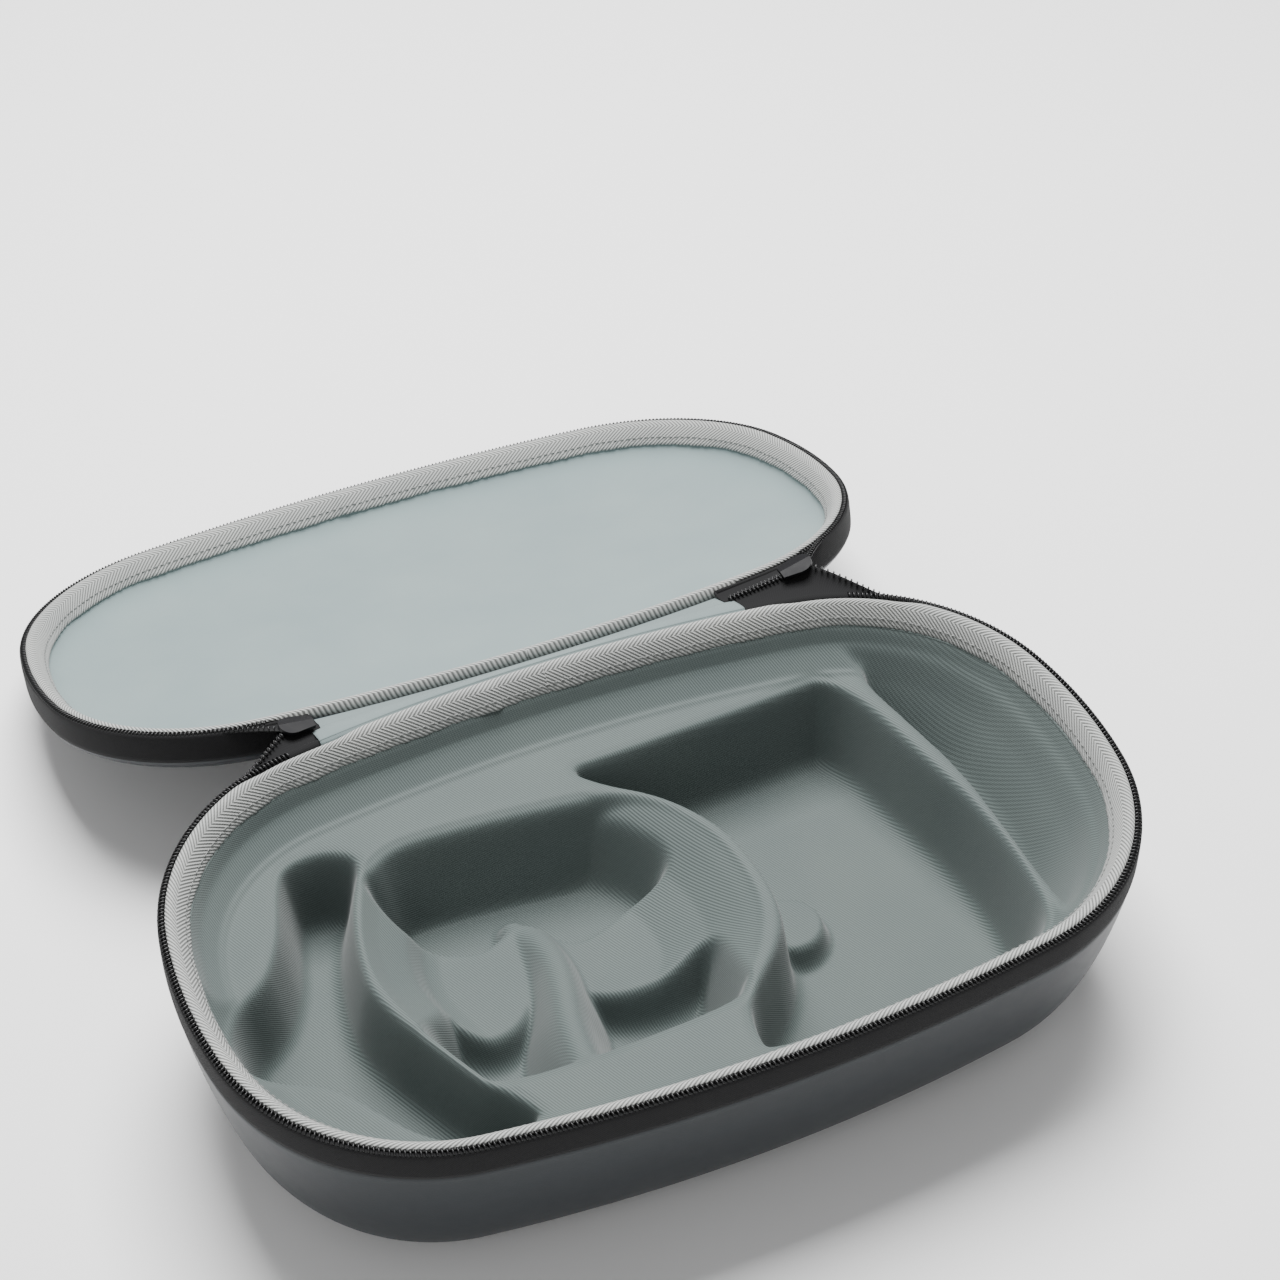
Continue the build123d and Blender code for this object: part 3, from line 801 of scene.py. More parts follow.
@dataclass(frozen=True)
class FinishSet:
    """Every finish of the case, by the record's material slots, and the thread besides."""

    shell: SkinFinish = SkinFinish("shell_skin", (0.0115, 0.0150, 0.0180))
    patch: SkinFinish = SkinFinish("patch_skin", (0.0145, 0.019, 0.0225), grain=1300.0, relief=0.00004)
    handle: SkinFinish = SkinFinish("handle_skin", (0.0145, 0.019, 0.0225), grain=1200.0, relief=0.00005)
    tray: ClothFinish = ClothFinish("tray_cloth", (0.083, 0.104, 0.100), Weave.RIBBED, 0.00090, 0.36,
                                    relief=0.00014, heading=0.417, sheen=0.18, roughness=0.62)
    lining: ClothFinish = ClothFinish("lining_cloth", (0.205, 0.262, 0.264), Weave.KNIT, 0.0007, 0.08,
                                      relief=0.00006, sheen=0.2)
    hinge: ClothFinish = ClothFinish("hinge_cloth", (0.165, 0.205, 0.205), Weave.KNIT, 0.0007, 0.12,
                                     relief=0.00008, sheen=0.15)
    binding: ClothFinish = ClothFinish("edge_binding", (0.33, 0.335, 0.325), Weave.HERRINGBONE, 0.0019, 0.62,
                                       relief=0.0004, spine=0.0062, sheen=0.15)
    tape: ClothFinish = ClothFinish("zipper_tape", (0.0055, 0.0055, 0.006), Weave.PLAIN, 0.0008, 0.5,
                                    relief=0.0001, sheen=0.02)
    webbing: ClothFinish = ClothFinish("strap_webbing", (0.008, 0.008, 0.009), Weave.HERRINGBONE, 0.0012, 0.5,
                                       spine=0.005, sheen=0.04)
    coil: HardFinish = HardFinish("zipper_coil", (0.007, 0.007, 0.0075), 0.36)
    enamel: HardFinish = HardFinish("slider_enamel", (0.004, 0.004, 0.005), 0.5, 900.0, shine=0.15)
    rubber: HardFinish = HardFinish("pull_rubber", (0.005, 0.0052, 0.006), 0.6, 2600.0, shine=0.15)
    thread: HardFinish = HardFinish("binding_thread", (0.20, 0.205, 0.20), 0.8, 5000.0, 0.00003)
    dark_thread: HardFinish = HardFinish("patch_thread", (0.05, 0.06, 0.075), 0.7, 5000.0, 0.00003)


class Wardrobe:
    """Builds each finish once and puts it on pieces."""

    def __init__(self, finishes: FinishSet) -> None:
        """Keeps the finishes, and the materials made so far.

        Args:
            finishes: the finishes of the case.
        """
        self.finishes = finishes
        self.made: dict[str, bpy.types.Material] = {}

    def dress(self, thing: bpy.types.Object, finish: str) -> None:
        """Gives a piece one finish.

        Args:
            thing: the piece.
            finish: name of the field in the set of finishes.
        """
        if finish not in self.made:
            self.made[finish] = getattr(self.finishes, finish).build()
        thing.data.materials.clear()
        thing.data.materials.append(self.made[finish])


# ---- Shells and lining -----------------------------------------------------------------------------


@dataclass
class ShellHalf:
    """Moulded shell of one half: coated skin outside, wall thickness, and a flat face that closes it."""

    case: CaseFrame
    half: Half
    depth: float
    flat_inset: float
    wall_run: float
    floor_run: float
    draft: float
    wall: float = 4.5
    gap: float = 5.0
    tape_thick: float = 0.9
    stations: int = 420

    def wall_curve(self, thickness: float) -> np.ndarray:
        """Control points (inset, depth) of the wall's curve, moved inwards by a thickness.

        Args:
            thickness: how far inside the outer face.
        Returns:
            Four control points, one per row.
        """
        run = self.wall_run - 0.45 * thickness
        lean = math.radians(self.draft)
        return np.array([
            (0.1 + thickness, self.case.tape),
            (0.1 + thickness + math.sin(lean) * run, self.case.tape + math.cos(lean) * run),
            (self.flat_inset - self.floor_run + 0.45 * thickness, self.depth - thickness),
            (self.flat_inset, self.depth - thickness),
        ])

    def section(self) -> np.ndarray:
        """Section (inset, depth) from the inner face, over the rim and down the outside."""
        inner = bezier(self.wall_curve(self.wall), 26)[::-1]
        outer = bezier(self.wall_curve(0.0), 44)
        step = self.tape_thick + 0.15
        rim = np.array([(0.1 + self.wall, 8.5), (0.1 + self.wall, self.gap + 0.5), (4.0, self.gap),
                        (step + 0.6, self.gap), (step, self.gap + 0.6), (step, 9.0),
                        (step, self.case.tape - 0.6), (0.7, self.case.tape - 0.35),
                        (0.25, self.case.tape - 0.1)])
        return np.vstack([inner, rim, outer])

    def skin(self, wardrobe: Wardrobe) -> bpy.types.Object:
        """The shell: its section carried round the outline, each face closed towards the middle.

        Args:
            wardrobe: the finishes.
        Returns:
            The shell's object.
        """
        section = self.section() * np.array([1, self.half.value])
        along = np.linspace(0, self.case.outline.perimeter, self.stations + 1)
        grid = self.case.outline.carry(section, along[:-1])
        shares = np.array([0.0, 0.25, 0.5, 0.75])[None, :, None]
        flat = np.array([1.0, 1.0, 0.0])
        first = grid[:, :1] * (1 - flat) + grid[:, :1] * flat * shares
        last = grid[:, -1:] * (1 - flat) + grid[:, -1:] * flat * shares[:, ::-1]
        grid = self.case.opened(np.concatenate([first, grid, last], axis=1), self.half)
        rows, columns = grid.shape[:2]
        faces = grid_faces(rows, columns, True, False).tolist()
        thing = write_mesh(f"{self.half.body}_shell_skin", grid, faces, None, self.case.rim)
        wardrobe.dress(thing, "shell")
        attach(thing, self.half.body)
        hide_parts(f"{self.half.body}_shell")
        return thing


@dataclass
class LidLining:
    """Thin cloth-faced lining of the lid, from under the binding across the flat face."""

    case: CaseFrame
    edge: tuple = (9.0, 7.4)
    flat: tuple = (48.0, 18.7)
    thickness: float = 1.2
    stations: int = 400

    def build(self, wardrobe: Wardrobe) -> bpy.types.Object:
        """Inner and outer cubic curves joined at the edge and closed at the middle, gently uneven.

        Args:
            wardrobe: the finishes.
        Returns:
            The lining's object.
        """
        ex, ed = self.edge
        fx, fd = self.flat
        inner = bezier([(ex, ed), (ex + 1.5, ed + 8.6), (fx - 27, fd), (fx, fd)], 44)[::-1]
        outer = bezier([(ex - 0.8, ed + 0.7), (ex + 0.5, ed + 9.9), (fx - 27, fd + self.thickness),
                        (fx, fd + self.thickness)], 30)
        section = np.vstack([inner, outer])
        along = np.linspace(0, self.case.outline.perimeter, self.stations + 1)[:-1]
        grid = self.case.outline.carry(section, along)
        shares = np.linspace(0, 0.93, 12)[None, :, None]
        flat = np.array([1.0, 1.0, 0.0])
        first = grid[:, :1] * (1 - flat) + grid[:, :1] * flat * shares
        last = grid[:, -1:] * (1 - flat) + grid[:, -1:] * flat * shares[:, ::-1]
        grid = np.concatenate([first, grid, last], axis=1)
        wave = ripple(grid[..., 0] / 26, 3) * ripple(grid[..., 1] / 21, 4)
        grid[..., 2] += 0.12 * wave * smooth_step(np.abs(grid[..., 2]), 12, 18)
        rows, columns = grid.shape[:2]
        faces = grid_faces(rows, columns, True, False).tolist()
        thing = write_mesh("lid_lining_cloth", self.case.opened(grid), faces, None, self.case.rim)
        wardrobe.dress(thing, "lining")
        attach(thing, "lid")
        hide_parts("lid_lining")
        return thing


# ---- Rim: binding, tape and teeth ------------------------------------------------------------------


@dataclass
class EdgeBinding:
    """Herringbone tape folded over the rim of one half and sewn through near its inner edge."""

    case: CaseFrame
    half: Half
    joint: float
    slider_zones: tuple
    stations: int = 1100
    wander: float = 0.22
    stitch_pitch: float = 3.1
    apron: float = 0.0

    def section(self) -> np.ndarray:
        """Closed section (inset, depth): rounded outer fold, slope to the inner edge, underside."""
        return np.array([
            (2.8, 2.3), (2.55, 1.3), (2.75, 0.7), (3.3, 0.3), (4.1, 0.2), (5.0, 0.45), (5.9, 1.1), (6.8, 2.1),
            (7.7, 3.4), (8.6, 4.9), (9.4, 6.5), (10.0, 7.9), (10.35, 8.9), (10.15, 9.4), (9.5, 8.9),
            (8.5, 7.3), (7.2, 5.4), (5.8, 3.6), (4.8, 2.9), (3.8, 2.6),
        ])

    def lap(self, along: np.ndarray) -> np.ndarray:
        """How raised the binding is where its two ends lie over each other: a short smooth step."""
        gap = along - self.joint
        return smooth_step(gap, -5.5, -4.9) * (1 - smooth_step(gap, 0.0, 5.0))

    def dent(self, along: np.ndarray) -> np.ndarray:
        """Where the binding stands back to make room for a slider: 1 within its travel, 0 away from it.

        Args:
            along: distances along the outline.
        Returns:
            A share between 0 and 1 at each.
        """
        total = np.zeros_like(along)
        for low, high in self.slider_zones:
            total += smooth_step(along, low - 14, low) * (1 - smooth_step(along, high, high + 14))
        return total

    def shaped(self, along: np.ndarray) -> np.ndarray:
        """The section at each station, with a wandering, slightly frayed inner edge and a raised lap.

        Args:
            along: distances along the outline.
        Returns:
            One section of (inset, depth) points per station.
        """
        base = np.broadcast_to(self.section(), (len(along), *self.section().shape)).copy()
        edge = smooth_step(base[..., 1], 5.5, 8.8)
        wave = self.wander * ripple(along / 9, 5 + self.half.value) + 0.14 * ripple(along / 1.3, 8)
        base[..., 0] += edge * wave[:, None]
        base[..., 1] += edge * 0.6 * wave[:, None]
        raised = (self.lap(along)[:, None] * smooth_step(base[..., 1], 0.2, 1.2) * 0.55)
        base[..., 0] += raised * 0.7
        base[..., 1] -= raised * 0.7
        back = self.dent(along)[:, None] * (1 - smooth_step(base[..., 0], 3.0, 7.5))
        base[..., 0] += 1.1 * back
        base[..., 1] += 0.5 * back
        if self.apron > 0:
            whole = self.case.outline.perimeter
            turned = np.where(along > whole / 2, along - whole, along)
            zone = smooth_step(turned, -92, -84) * (1 - smooth_step(turned, 90, 98))
            base[:, 0, 1] += self.apron * zone
            base[:, 1, 1] += self.apron * 0.55 * zone
            base[:, -1, 1] += self.apron * 0.9 * zone
            base[:, -1, 0] -= 0.5 * zone
        return base

    def build(self, wardrobe: Wardrobe) -> list[bpy.types.Object]:
        """The binding and its row of stitches.

        Args:
            wardrobe: the finishes.
        Returns:
            Both pieces.
        """
        body = self.half.body
        along = np.linspace(0, self.case.outline.perimeter, self.stations + 1)
        section = self.shaped(along[:-1]) * np.array([1, self.half.value])
        grid = self.case.opened(self.case.outline.carry(section, along[:-1]), self.half)
        corners = np.vstack([self.section(), self.section()[:1]])
        across = np.concatenate([[0], np.cumsum(np.linalg.norm(np.diff(corners, axis=0), axis=1))])
        band = swept(f"{body}_binding_tape", grid, along, across, self.case.rim, True)
        wardrobe.dress(band, "binding")
        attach(band, body)
        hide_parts(f"{body}_edge_binding")
        return [band, self.stitches(wardrobe)]

    def stitches(self, wardrobe: Wardrobe) -> bpy.types.Object:
        """One spindle of thread per stitch, on the slope near the inner edge.

        Args:
            wardrobe: the finishes.
        Returns:
            The row of stitches.
        """
        count = int(self.case.outline.perimeter / self.stitch_pitch)
        along = np.arange(count) * self.case.outline.perimeter / count
        slope = np.array([0.45, 0.893])
        spot = np.array([9.35, 5.75]) + np.outer(0.1 * ripple(along / 7, 21), slope)
        spot += np.outer(self.lap(along), [0.4, -0.4])
        plan, angle = self.case.outline.place(along, spot[:, 0])
        centres = np.concatenate([plan, (spot[:, 1] * self.half.value)[:, None]], axis=1)
        out = np.stack([np.cos(angle), np.sin(angle), 0 * angle], axis=1)
        run = np.stack([-np.sin(angle), np.cos(angle), 0 * angle], axis=1)
        up = np.array([0, 0, -float(self.half.value)])
        down_slope = -out * slope[0] - up * slope[1]
        lift = -out * slope[1] + up * slope[0]
        ends = centres + 0.5 * run
        centres = self.case.opened(centres, self.half)
        run = self.case.opened(ends, self.half) - centres
        run /= np.linalg.norm(run, axis=1, keepdims=True)
        turn = self.case.opened(np.stack([down_slope, lift, 0 * lift]), self.half)
        axes = np.stack([turn[0] - turn[2], run, turn[1] - turn[2]], axis=1)
        shape, quads = bead_shape(self.stitch_pitch * 0.72, 0.24, 0.2)
        row = repeated(f"{self.half.body}_binding_stitches", shape, quads, centres, axes, self.case.rim)
        wardrobe.dress(row, "thread")
        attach(row, self.half.body)
        return row


@dataclass
class ZipperHalf:
    """Outer zipper tape of one half and the row of coil teeth on its edge."""

    case: CaseFrame
    half: Half
    patch_ends: tuple
    zip_range: tuple
    pitch: float = 1.65
    thick: float = 0.9
    stations: int = 900

    def tape(self, wardrobe: Wardrobe) -> bpy.types.Object:
        """Tape: an upright band on the outside with a lip under the teeth, from one patch end to the other.

        Args:
            wardrobe: the finishes.
        Returns:
            The tape's object.
        """
        t, low = self.thick, self.case.tape
        section = np.array([
            (0.0, low), (-0.12, low - 1.5), (-0.12, 7.0), (-0.1, 4.0), (0.0, 2.4), (0.15, 1.5), (0.7, 1.15),
            (1.8, 1.75), (3.0, 2.2), (3.0, 2.7), (t + 0.5, 2.5), (t, 3.2), (t, 8.0), (t, low - 0.8),
            (t - 0.2, low),
        ])
        along = np.linspace(self.patch_ends[0], self.patch_ends[1], self.stations)
        closed = np.vstack([section, section[:1]])
        across = np.concatenate([[0], np.cumsum(np.linalg.norm(np.diff(closed, axis=0), axis=1))])
        grid = self.case.outline.carry(section * np.array([1, self.half.value]), along)
        grid = self.case.opened(grid, self.half)
        body = self.half.body
        band = swept(f"{body}_zipper_tape_band", grid, along, across, self.case.rim, False)
        wardrobe.dress(band, "tape")
        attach(band, body)
        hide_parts(f"{body}_zipper_tape", f"{body}_tape_ends")
        return band

    def teeth(self, wardrobe: Wardrobe) -> bpy.types.Object:
        """Teeth: a wire loop at every pitch, leaning with the coil, along the part that opens.

        Args:
            wardrobe: the finishes.
        Returns:
            The row of teeth.
        """
        start, stop = self.zip_range
        count = int((stop - start) / self.pitch)
        along = start + (np.arange(count) + 0.25 * (self.half is Half.LID)) * self.pitch
        plan, angle = self.case.outline.place(along, 1.75)
        centres = np.concatenate([plan, np.full((count, 1), 1.0 * self.half.value)], axis=1)
        out = np.stack([np.cos(angle), np.sin(angle), 0 * angle], axis=1)
        run = np.stack([-np.sin(angle), np.cos(angle), 0 * angle], axis=1)
        up = np.broadcast_to(np.array([0, 0, -float(self.half.value)]), out.shape)
        lean = 0.28
        axes = np.stack([out + lean * run, run, up], axis=1)
        zero = self.case.opened(np.zeros((1, 1, 3)), self.half)
        axes = self.case.opened(axes, self.half) - zero
        centres = self.case.opened(centres, self.half)
        shape, quads = loop_shape(1.05, 0.5, 0.36)
        row = repeated(f"{self.half.body}_zipper_teeth", shape, quads, centres, axes, self.case.rim)
        wardrobe.dress(row, "coil")
        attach(row, self.half.body)
        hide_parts(f"{self.half.body}_zipper_coil")
        return row


@dataclass
class ZipperEnds:
    """The shut stretches of zipper beside the hinge: tape that bridges the rims, with meshed teeth."""

    case: CaseFrame
    patch_end: tuple
    slider: tuple
    pitch: float = 1.65
    thick: float = 0.5
    reach: float = 26.0

    def parting(self, along: np.ndarray, mouth: float) -> np.ndarray:
        """Share of the way from the rim to the middle line: 1 up to the slider, then a falling square."""
        return ((1 - np.clip((along - mouth + 1) / (self.reach + 1), 0, 1))**2)[:, None]

    def settle(self, thing: bpy.types.Object, side: int, half: Half) -> None:
        """Puts a piece in place: a base piece has its placing baked into its points, a lid piece rides the
        lid with its own copy of the mesh.

        Args:
            thing: the piece.
            side: 1 on the left, -1 on the right.
            half: the half that its outer edge meets.
        """
        span = np.linspace(self.patch_end[0 if side > 0 else 1], self.slider[0 if side > 0 else 1] + 20, 9)
        rim = self.edge(span, side, half) + np.array([0, 0, self.case.rim])
        middle = self.centre(span, side) + np.array([0, 0, self.case.rim])
        if half is Half.BASE:
            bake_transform(thing)
            return
        run = rim[-1] - rim[0]
        run /= np.linalg.norm(run)
        over = (middle - rim)[4]
        over -= over @ run * run
        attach(thing, "lid")
        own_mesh(thing)

    def centre(self, along: np.ndarray, side: int) -> np.ndarray:
        """Middle line of the shut zipper with the case open, at distances from the middle of the back."""
        plan, _ = self.case.outline.place(side * along, 2.0)
        return self.case.spread(np.concatenate([plan, np.zeros((len(along), 1))], axis=1))

    def edge(self, along: np.ndarray, side: int, half: Half) -> np.ndarray:
        """Line on the rim of a half, just under its teeth."""
        plan, _ = self.case.outline.place(side * along, 1.4)
        height = np.full((len(along), 1), 1.9 * half.value)
        return self.case.opened(np.concatenate([plan, height], axis=1), half)

    def sheet(self, name: str, side: int, half: Half, wardrobe: Wardrobe) -> bpy.types.Object:
        """One half of the bridging tape.

        Its inner edge follows the middle line up to the slider, then eases out to its own rim.

        Args:
            name: name of the piece.
            side: 1 on the left, -1 on the right.
            half: the half that its outer edge meets.
            wardrobe: the finishes.
        Returns:
            The sheet's object.
        """
        start, mouth = self.patch_end[0 if side > 0 else 1] - 1.5, self.slider[0 if side > 0 else 1] + 5.0
        along = np.linspace(start, mouth + self.reach, 90)
        rim, middle = self.edge(along, side, half), self.centre(along, side)
        share = self.parting(along, mouth)
        inner = rim + (middle - rim) * share
        across = np.linspace(0, 1, 9)[None, :, None]
        sag = -0.9 * np.sin(np.pi * across) * np.linalg.norm(inner - rim, axis=1)[:, None, None] / 12
        grid = rim[:, None] * (1 - across) + inner[:, None] * across
        grid = grid + sag * np.array([0, 0, 1])
        under = grid[:, ::-1] - np.array([0, 0, self.thick])
        loop = np.concatenate([grid, under], axis=1)
        wide = np.concatenate([np.linspace(0, 10, 9), np.linspace(10.5, 20.5, 9), [21]])
        thing = swept(name, loop, along, wide, self.case.rim, False)
        wardrobe.dress(thing, "tape")
        self.settle(thing, side, half)
        return thing

    def loops(self, name: str, side: int, half: Half, first: float, last: float, apart: bool,
              wardrobe: Wardrobe) -> bpy.types.Object:
        """A row of teeth on the inner edge of a bridging tape.

        Args:
            name: name of the piece.
            side: 1 on the left, -1 on the right.
            half: the half whose teeth these are.
            first: distance of the first tooth from the middle of the back.
            last: distance of the last one.
            apart: whether the row has left the middle line.
            wardrobe: the finishes.
        Returns:
            The row.
        """
        along = np.arange(first, last, self.pitch) + (0.8 if half is Half.LID else 0.0)
        mouth = self.slider[0 if side > 0 else 1] + 5.0
        rim, middle = self.edge(along, side, half), self.centre(along, side)
        share = self.parting(along, mouth)
        centre = rim + (middle - rim) * (share if apart else 1.0)
        toward = rim - middle
        toward /= np.maximum(np.linalg.norm(toward, axis=1, keepdims=True), 1e-6)
        run = np.gradient(centre, axis=0)
        run /= np.linalg.norm(run, axis=1, keepdims=True)
        toward -= (toward * run).sum(1, keepdims=True) * run
        toward /= np.linalg.norm(toward, axis=1, keepdims=True)
        up = np.cross(toward, run)
        up *= np.sign(up[:, 2:3])
        centre = centre + toward * 0.55 + up * 0.75
        shape, quads = loop_shape(0.85, 0.5, 0.34)
        row = repeated(name, shape, quads, centre, np.stack([toward + 0.3 * run, run, up], axis=1),
                       self.case.rim)
        wardrobe.dress(row, "coil")
        if apart:
            self.settle(row, side, half)
        else:
            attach(row, "zipper_ends")
        return row

    def build(self, wardrobe: Wardrobe) -> list[bpy.types.Object]:
        """Both ends: four tapes, the meshed rows, and the rows that part beyond each slider.

        Args:
            wardrobe: the finishes.
        Returns:
            All the pieces.
        """
        made = []
        for side, word in ((1, "left"), (-1, "right")):
            start = self.patch_end[0 if side > 0 else 1] + 1.0
            slider = self.slider[0 if side > 0 else 1]
            for half in Half:
                made.append(self.sheet(f"zipper_end_tape_{word}_{half.body}", side, half, wardrobe))
                parted = f"zipper_end_teeth_{word}_{half.body}"
                made.append(self.loops(parted, side, half, slider + 5.0, slider + 5.0 + self.reach - 3, True,
                                       wardrobe))
            if slider - 6.0 - start > 4:
                for half in Half:
                    meshed = f"meshed_teeth_{word}_{half.body}"
                    row = self.loops(meshed, side, half, start, slider - 5.0, False, wardrobe)
                    made.append(row)
        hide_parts("meshed_coil")
        return made


# ---- Tray ------------------------------------------------------------------------------------------


@dataclass(frozen=True)
class Well:
    """Hollow of the tray: an outline, a floor, and a wall with rounded top and foot."""

    outline: tuple
    floor: float
    draft: float
    top: float = -22.0
    top_radius: float = 3.0
    foot_radius: float = 6.0
    open_top: bool = False

    def profile(self, depth: np.ndarray) -> np.ndarray:
        """Height against the distance inside the outline.

        The wall is a straight slope joined to the deck and the floor by two arcs; both arcs touch the slope
        at a distance of radius times the tangent of half the slope angle from the corner.

        Args:
            depth: distances inside the outline, negative outside.
        Returns:
            Heights.
        """
        slope = math.radians(90 - self.draft)
        wide = (self.top - self.floor) / math.tan(slope)
        foot = self.foot_radius * math.tan(slope / 2)
        turn = np.linspace(0, slope, 9)
        low_d = wide + foot - self.foot_radius * np.sin(turn[::-1])
        low_z = self.floor + self.foot_radius * (1 - np.cos(turn[::-1]))
        if self.open_top:
            climb = math.tan(slope)
            d = np.concatenate([[-60.0], low_d, [200.0]])
            z = np.concatenate([[self.top + 60.0 * climb], low_z, [self.floor]])
            return np.interp(depth, d, z)
        lip = self.top_radius * math.tan(slope / 2)
        high_d = -lip + self.top_radius * np.sin(turn)
        high_z = self.top - self.top_radius * (1 - np.cos(turn))
        d = np.concatenate([[-lip - 60.0, -lip - 0.01], high_d, low_d, [200.0]])
        z = np.concatenate([[self.top + 80.0, self.top], high_z, low_z, [self.floor]])
        return np.interp(depth, d, z)

    def field(self, points: np.ndarray) -> np.ndarray:
        """Height of the well at each plan point."""
        return self.profile(depth_inside(points, rounded(self.outline, True)))


@dataclass
class TrayCloth:
    """Cloth-covered moulded tray: deck, rim wall, wells for a folded headset, and a closed underside."""

    case: CaseFrame
    edge: float = 10.0
    edge_height: float = -8.7
    deck: float = -22.0
    rows: int = 250
    columns: int = 390
    slot: Well = Well(
        ((-119, 55), (-114, 62), (-99, 63), (-88, 55), (-97, 39), (-102, 24), (-105, 9), (-106, -3),
         (-102, -18), (-97, -29), (-91, -42), (-85, -55), (-77, -66), (-73, -75), (-95, -78),
         (-112, -66), (-122, -50), (-127, -41), (-134, -33), (-151, -25), (-158, -10), (-151, 6),
         (-138, 14), (-132, 22), (-126, 33)),
        -54.0, 11.0)
    main: Well = Well(
        ((-5, 65), (11, 65), (38, 66), (66, 67), (92, 69), (102, 69), (110, 55), (116, 19), (121, -9),
         (122, -40), (117, -70), (100, -76), (60, -80), (20, -80), (5, -79), (3, -76), (5, -64),
         (9, -57), (18, -49), (27, -41), (34, -31), (37, -17), (37, -1), (35, 14), (28, 30), (18, 43),
         (5, 53)),
        -60.0, 9.0)
    ridge: tuple = ((122, 92), (119, 68), (116, 60), (120, 38), (125, 9), (125, -25), (124, -49), (125, -68),
                    (128, -92), (190, -92), (190, 92))
    face: tuple = ((-87, 48), (-78, 54), (-65, 55), (-40, 53), (-7, 49), (8, 47), (22, 35), (31, 15),
                   (33, -5), (31, -22), (22, -38), (12, -48), (5, -57), (-82, -58), (-88, -45),
                   (-95, -28), (-101, -10), (-103, 5), (-100, 24), (-90, 48))
    right_crest: tuple = ((10, 50), (22, 35), (31, 15), (33, -5), (31, -22), (22, -38), (12, -48), (3, -62))
    left_crest: tuple = ((-80, -64), (-88, -45), (-95, -28), (-101, -10), (-103, 5), (-100, 24), (-88, 52))
    gutter: Well = Well(
        ((-86, 50), (-78, 55), (-60, 55), (-40, 53), (-7, 49), (14, 21), (6, 15), (-7, 12), (-21, 7),
         (-30, 8), (-42, 26), (-50, 19), (-62, 16), (-78, 24), (-84, 35)),
        -60.0, 16.0, top=-44.0, open_top=True)
    right_front: Well = Well(
        ((-35, -9), (-27, -17), (-16, -21), (-3, -21), (8, -18), (14, -20), (11, -36), (8, -48),
         (4, -57), (-30, -60), (-47, -60), (-46, -42), (-40, -25)), -61.0, 17.0, top=-38.0, open_top=True)
    left_front: Well = Well(
        ((-46, 2), (-52, -9), (-61, -18), (-71, -20), (-77, -15), (-81, -9), (-84, -15), (-90, -22),
         (-90, -35), (-88, -45), (-82, -59), (-56, -58), (-55, -45), (-51, -25), (-47, -5)),
        -58.0, 20.0, top=-40.0, open_top=True)
    nose: tuple = ((-42, 28, -53), (-40, 16, -43), (-39, -1, -37), (-43, -19, -32), (-49, -38, -28),
                   (-52, -60, -24))

    def half_width_at(self) -> tuple[np.ndarray, np.ndarray, np.ndarray]:
        """Left side of the tray's edge: distances along the outline, and the points there, back to front."""
        along = np.linspace(0, self.case.outline.perimeter / 2, 3001)
        plan, _ = self.case.outline.place(along, self.edge)
        return along, -plan[:, 0], plan[:, 1]

    def inset_of(self, points: np.ndarray) -> np.ndarray:
        """Inset from the case's outline of each plan point.

        Args:
            points: plan points.
        Returns:
            One inset per point.
        """
        line, _ = self.case.outline.place(np.linspace(0, self.case.outline.perimeter, 361)[:-1], 0.0)
        distance, _ = nearest(points, line, True)
        return distance

    def deck_height(self, points: np.ndarray, inset: np.ndarray) -> np.ndarray:
        """Rim wall sloping down to a flat deck, with its foot farther in at the back than at the left.

        Args:
            points: plan points.
            inset: their insets.
        Returns:
            Heights.
        """
        foot = 21.5 + 1.5 * smooth_step(points[:, 1], 20, 70) - 2.0 * smooth_step(-points[:, 0], 90, 140)
        share = (inset - self.edge) / (foot - self.edge)
        wall = np.interp(share, [-0.2, 0, 0.1, 0.28, 0.4, 0.95, 1.03, 1.2, 3],
                         [0.12, 0, -0.14, -0.47, -0.57, -0.95, -0.97, -1, -1])
        bead = 0.55 * np.exp(-((inset - foot) / 0.9)**2)
        return self.edge_height + wall * (self.edge_height - self.deck) + bead

    def face_well(self, points: np.ndarray) -> np.ndarray:
        """Well for the ear cups: steep ends, easy sides, hollows in the floor and a curved ridge between.

        Args:
            points: plan points.
        Returns:
            Heights.
        """
        steep = Well(self.face, -66.0, 13.0).field(points)
        right, _ = nearest(points, rounded(self.right_crest, False), False)
        left, _ = nearest(points, rounded(self.left_crest, False), False)
        right = np.interp(right, [0, 6, 18, 34, 55], [-23, -27, -36, -44, -47])
        left = np.interp(left, [0, 5, 15, 20, 26, 60], [-23, -28, -35, -43, -48, -50])
        field = soft_max(steep, soft_max(right, left, 5), 3)
        for well in (self.gutter, self.right_front, self.left_front):
            field = soft_min(field, np.maximum(well.field(points), steep), 4)
        crest = rounded(self.nose, False)
        away, place = nearest(points, crest[:, :2], False)
        height = np.interp(place, np.arange(len(crest)), crest[:, 2])
        fall = np.interp(away, [0, 2, 4, 7, 12, 30], [0, 0.3, 1.6, 7, 20, 70])
        return soft_max(field, height - fall, 3)

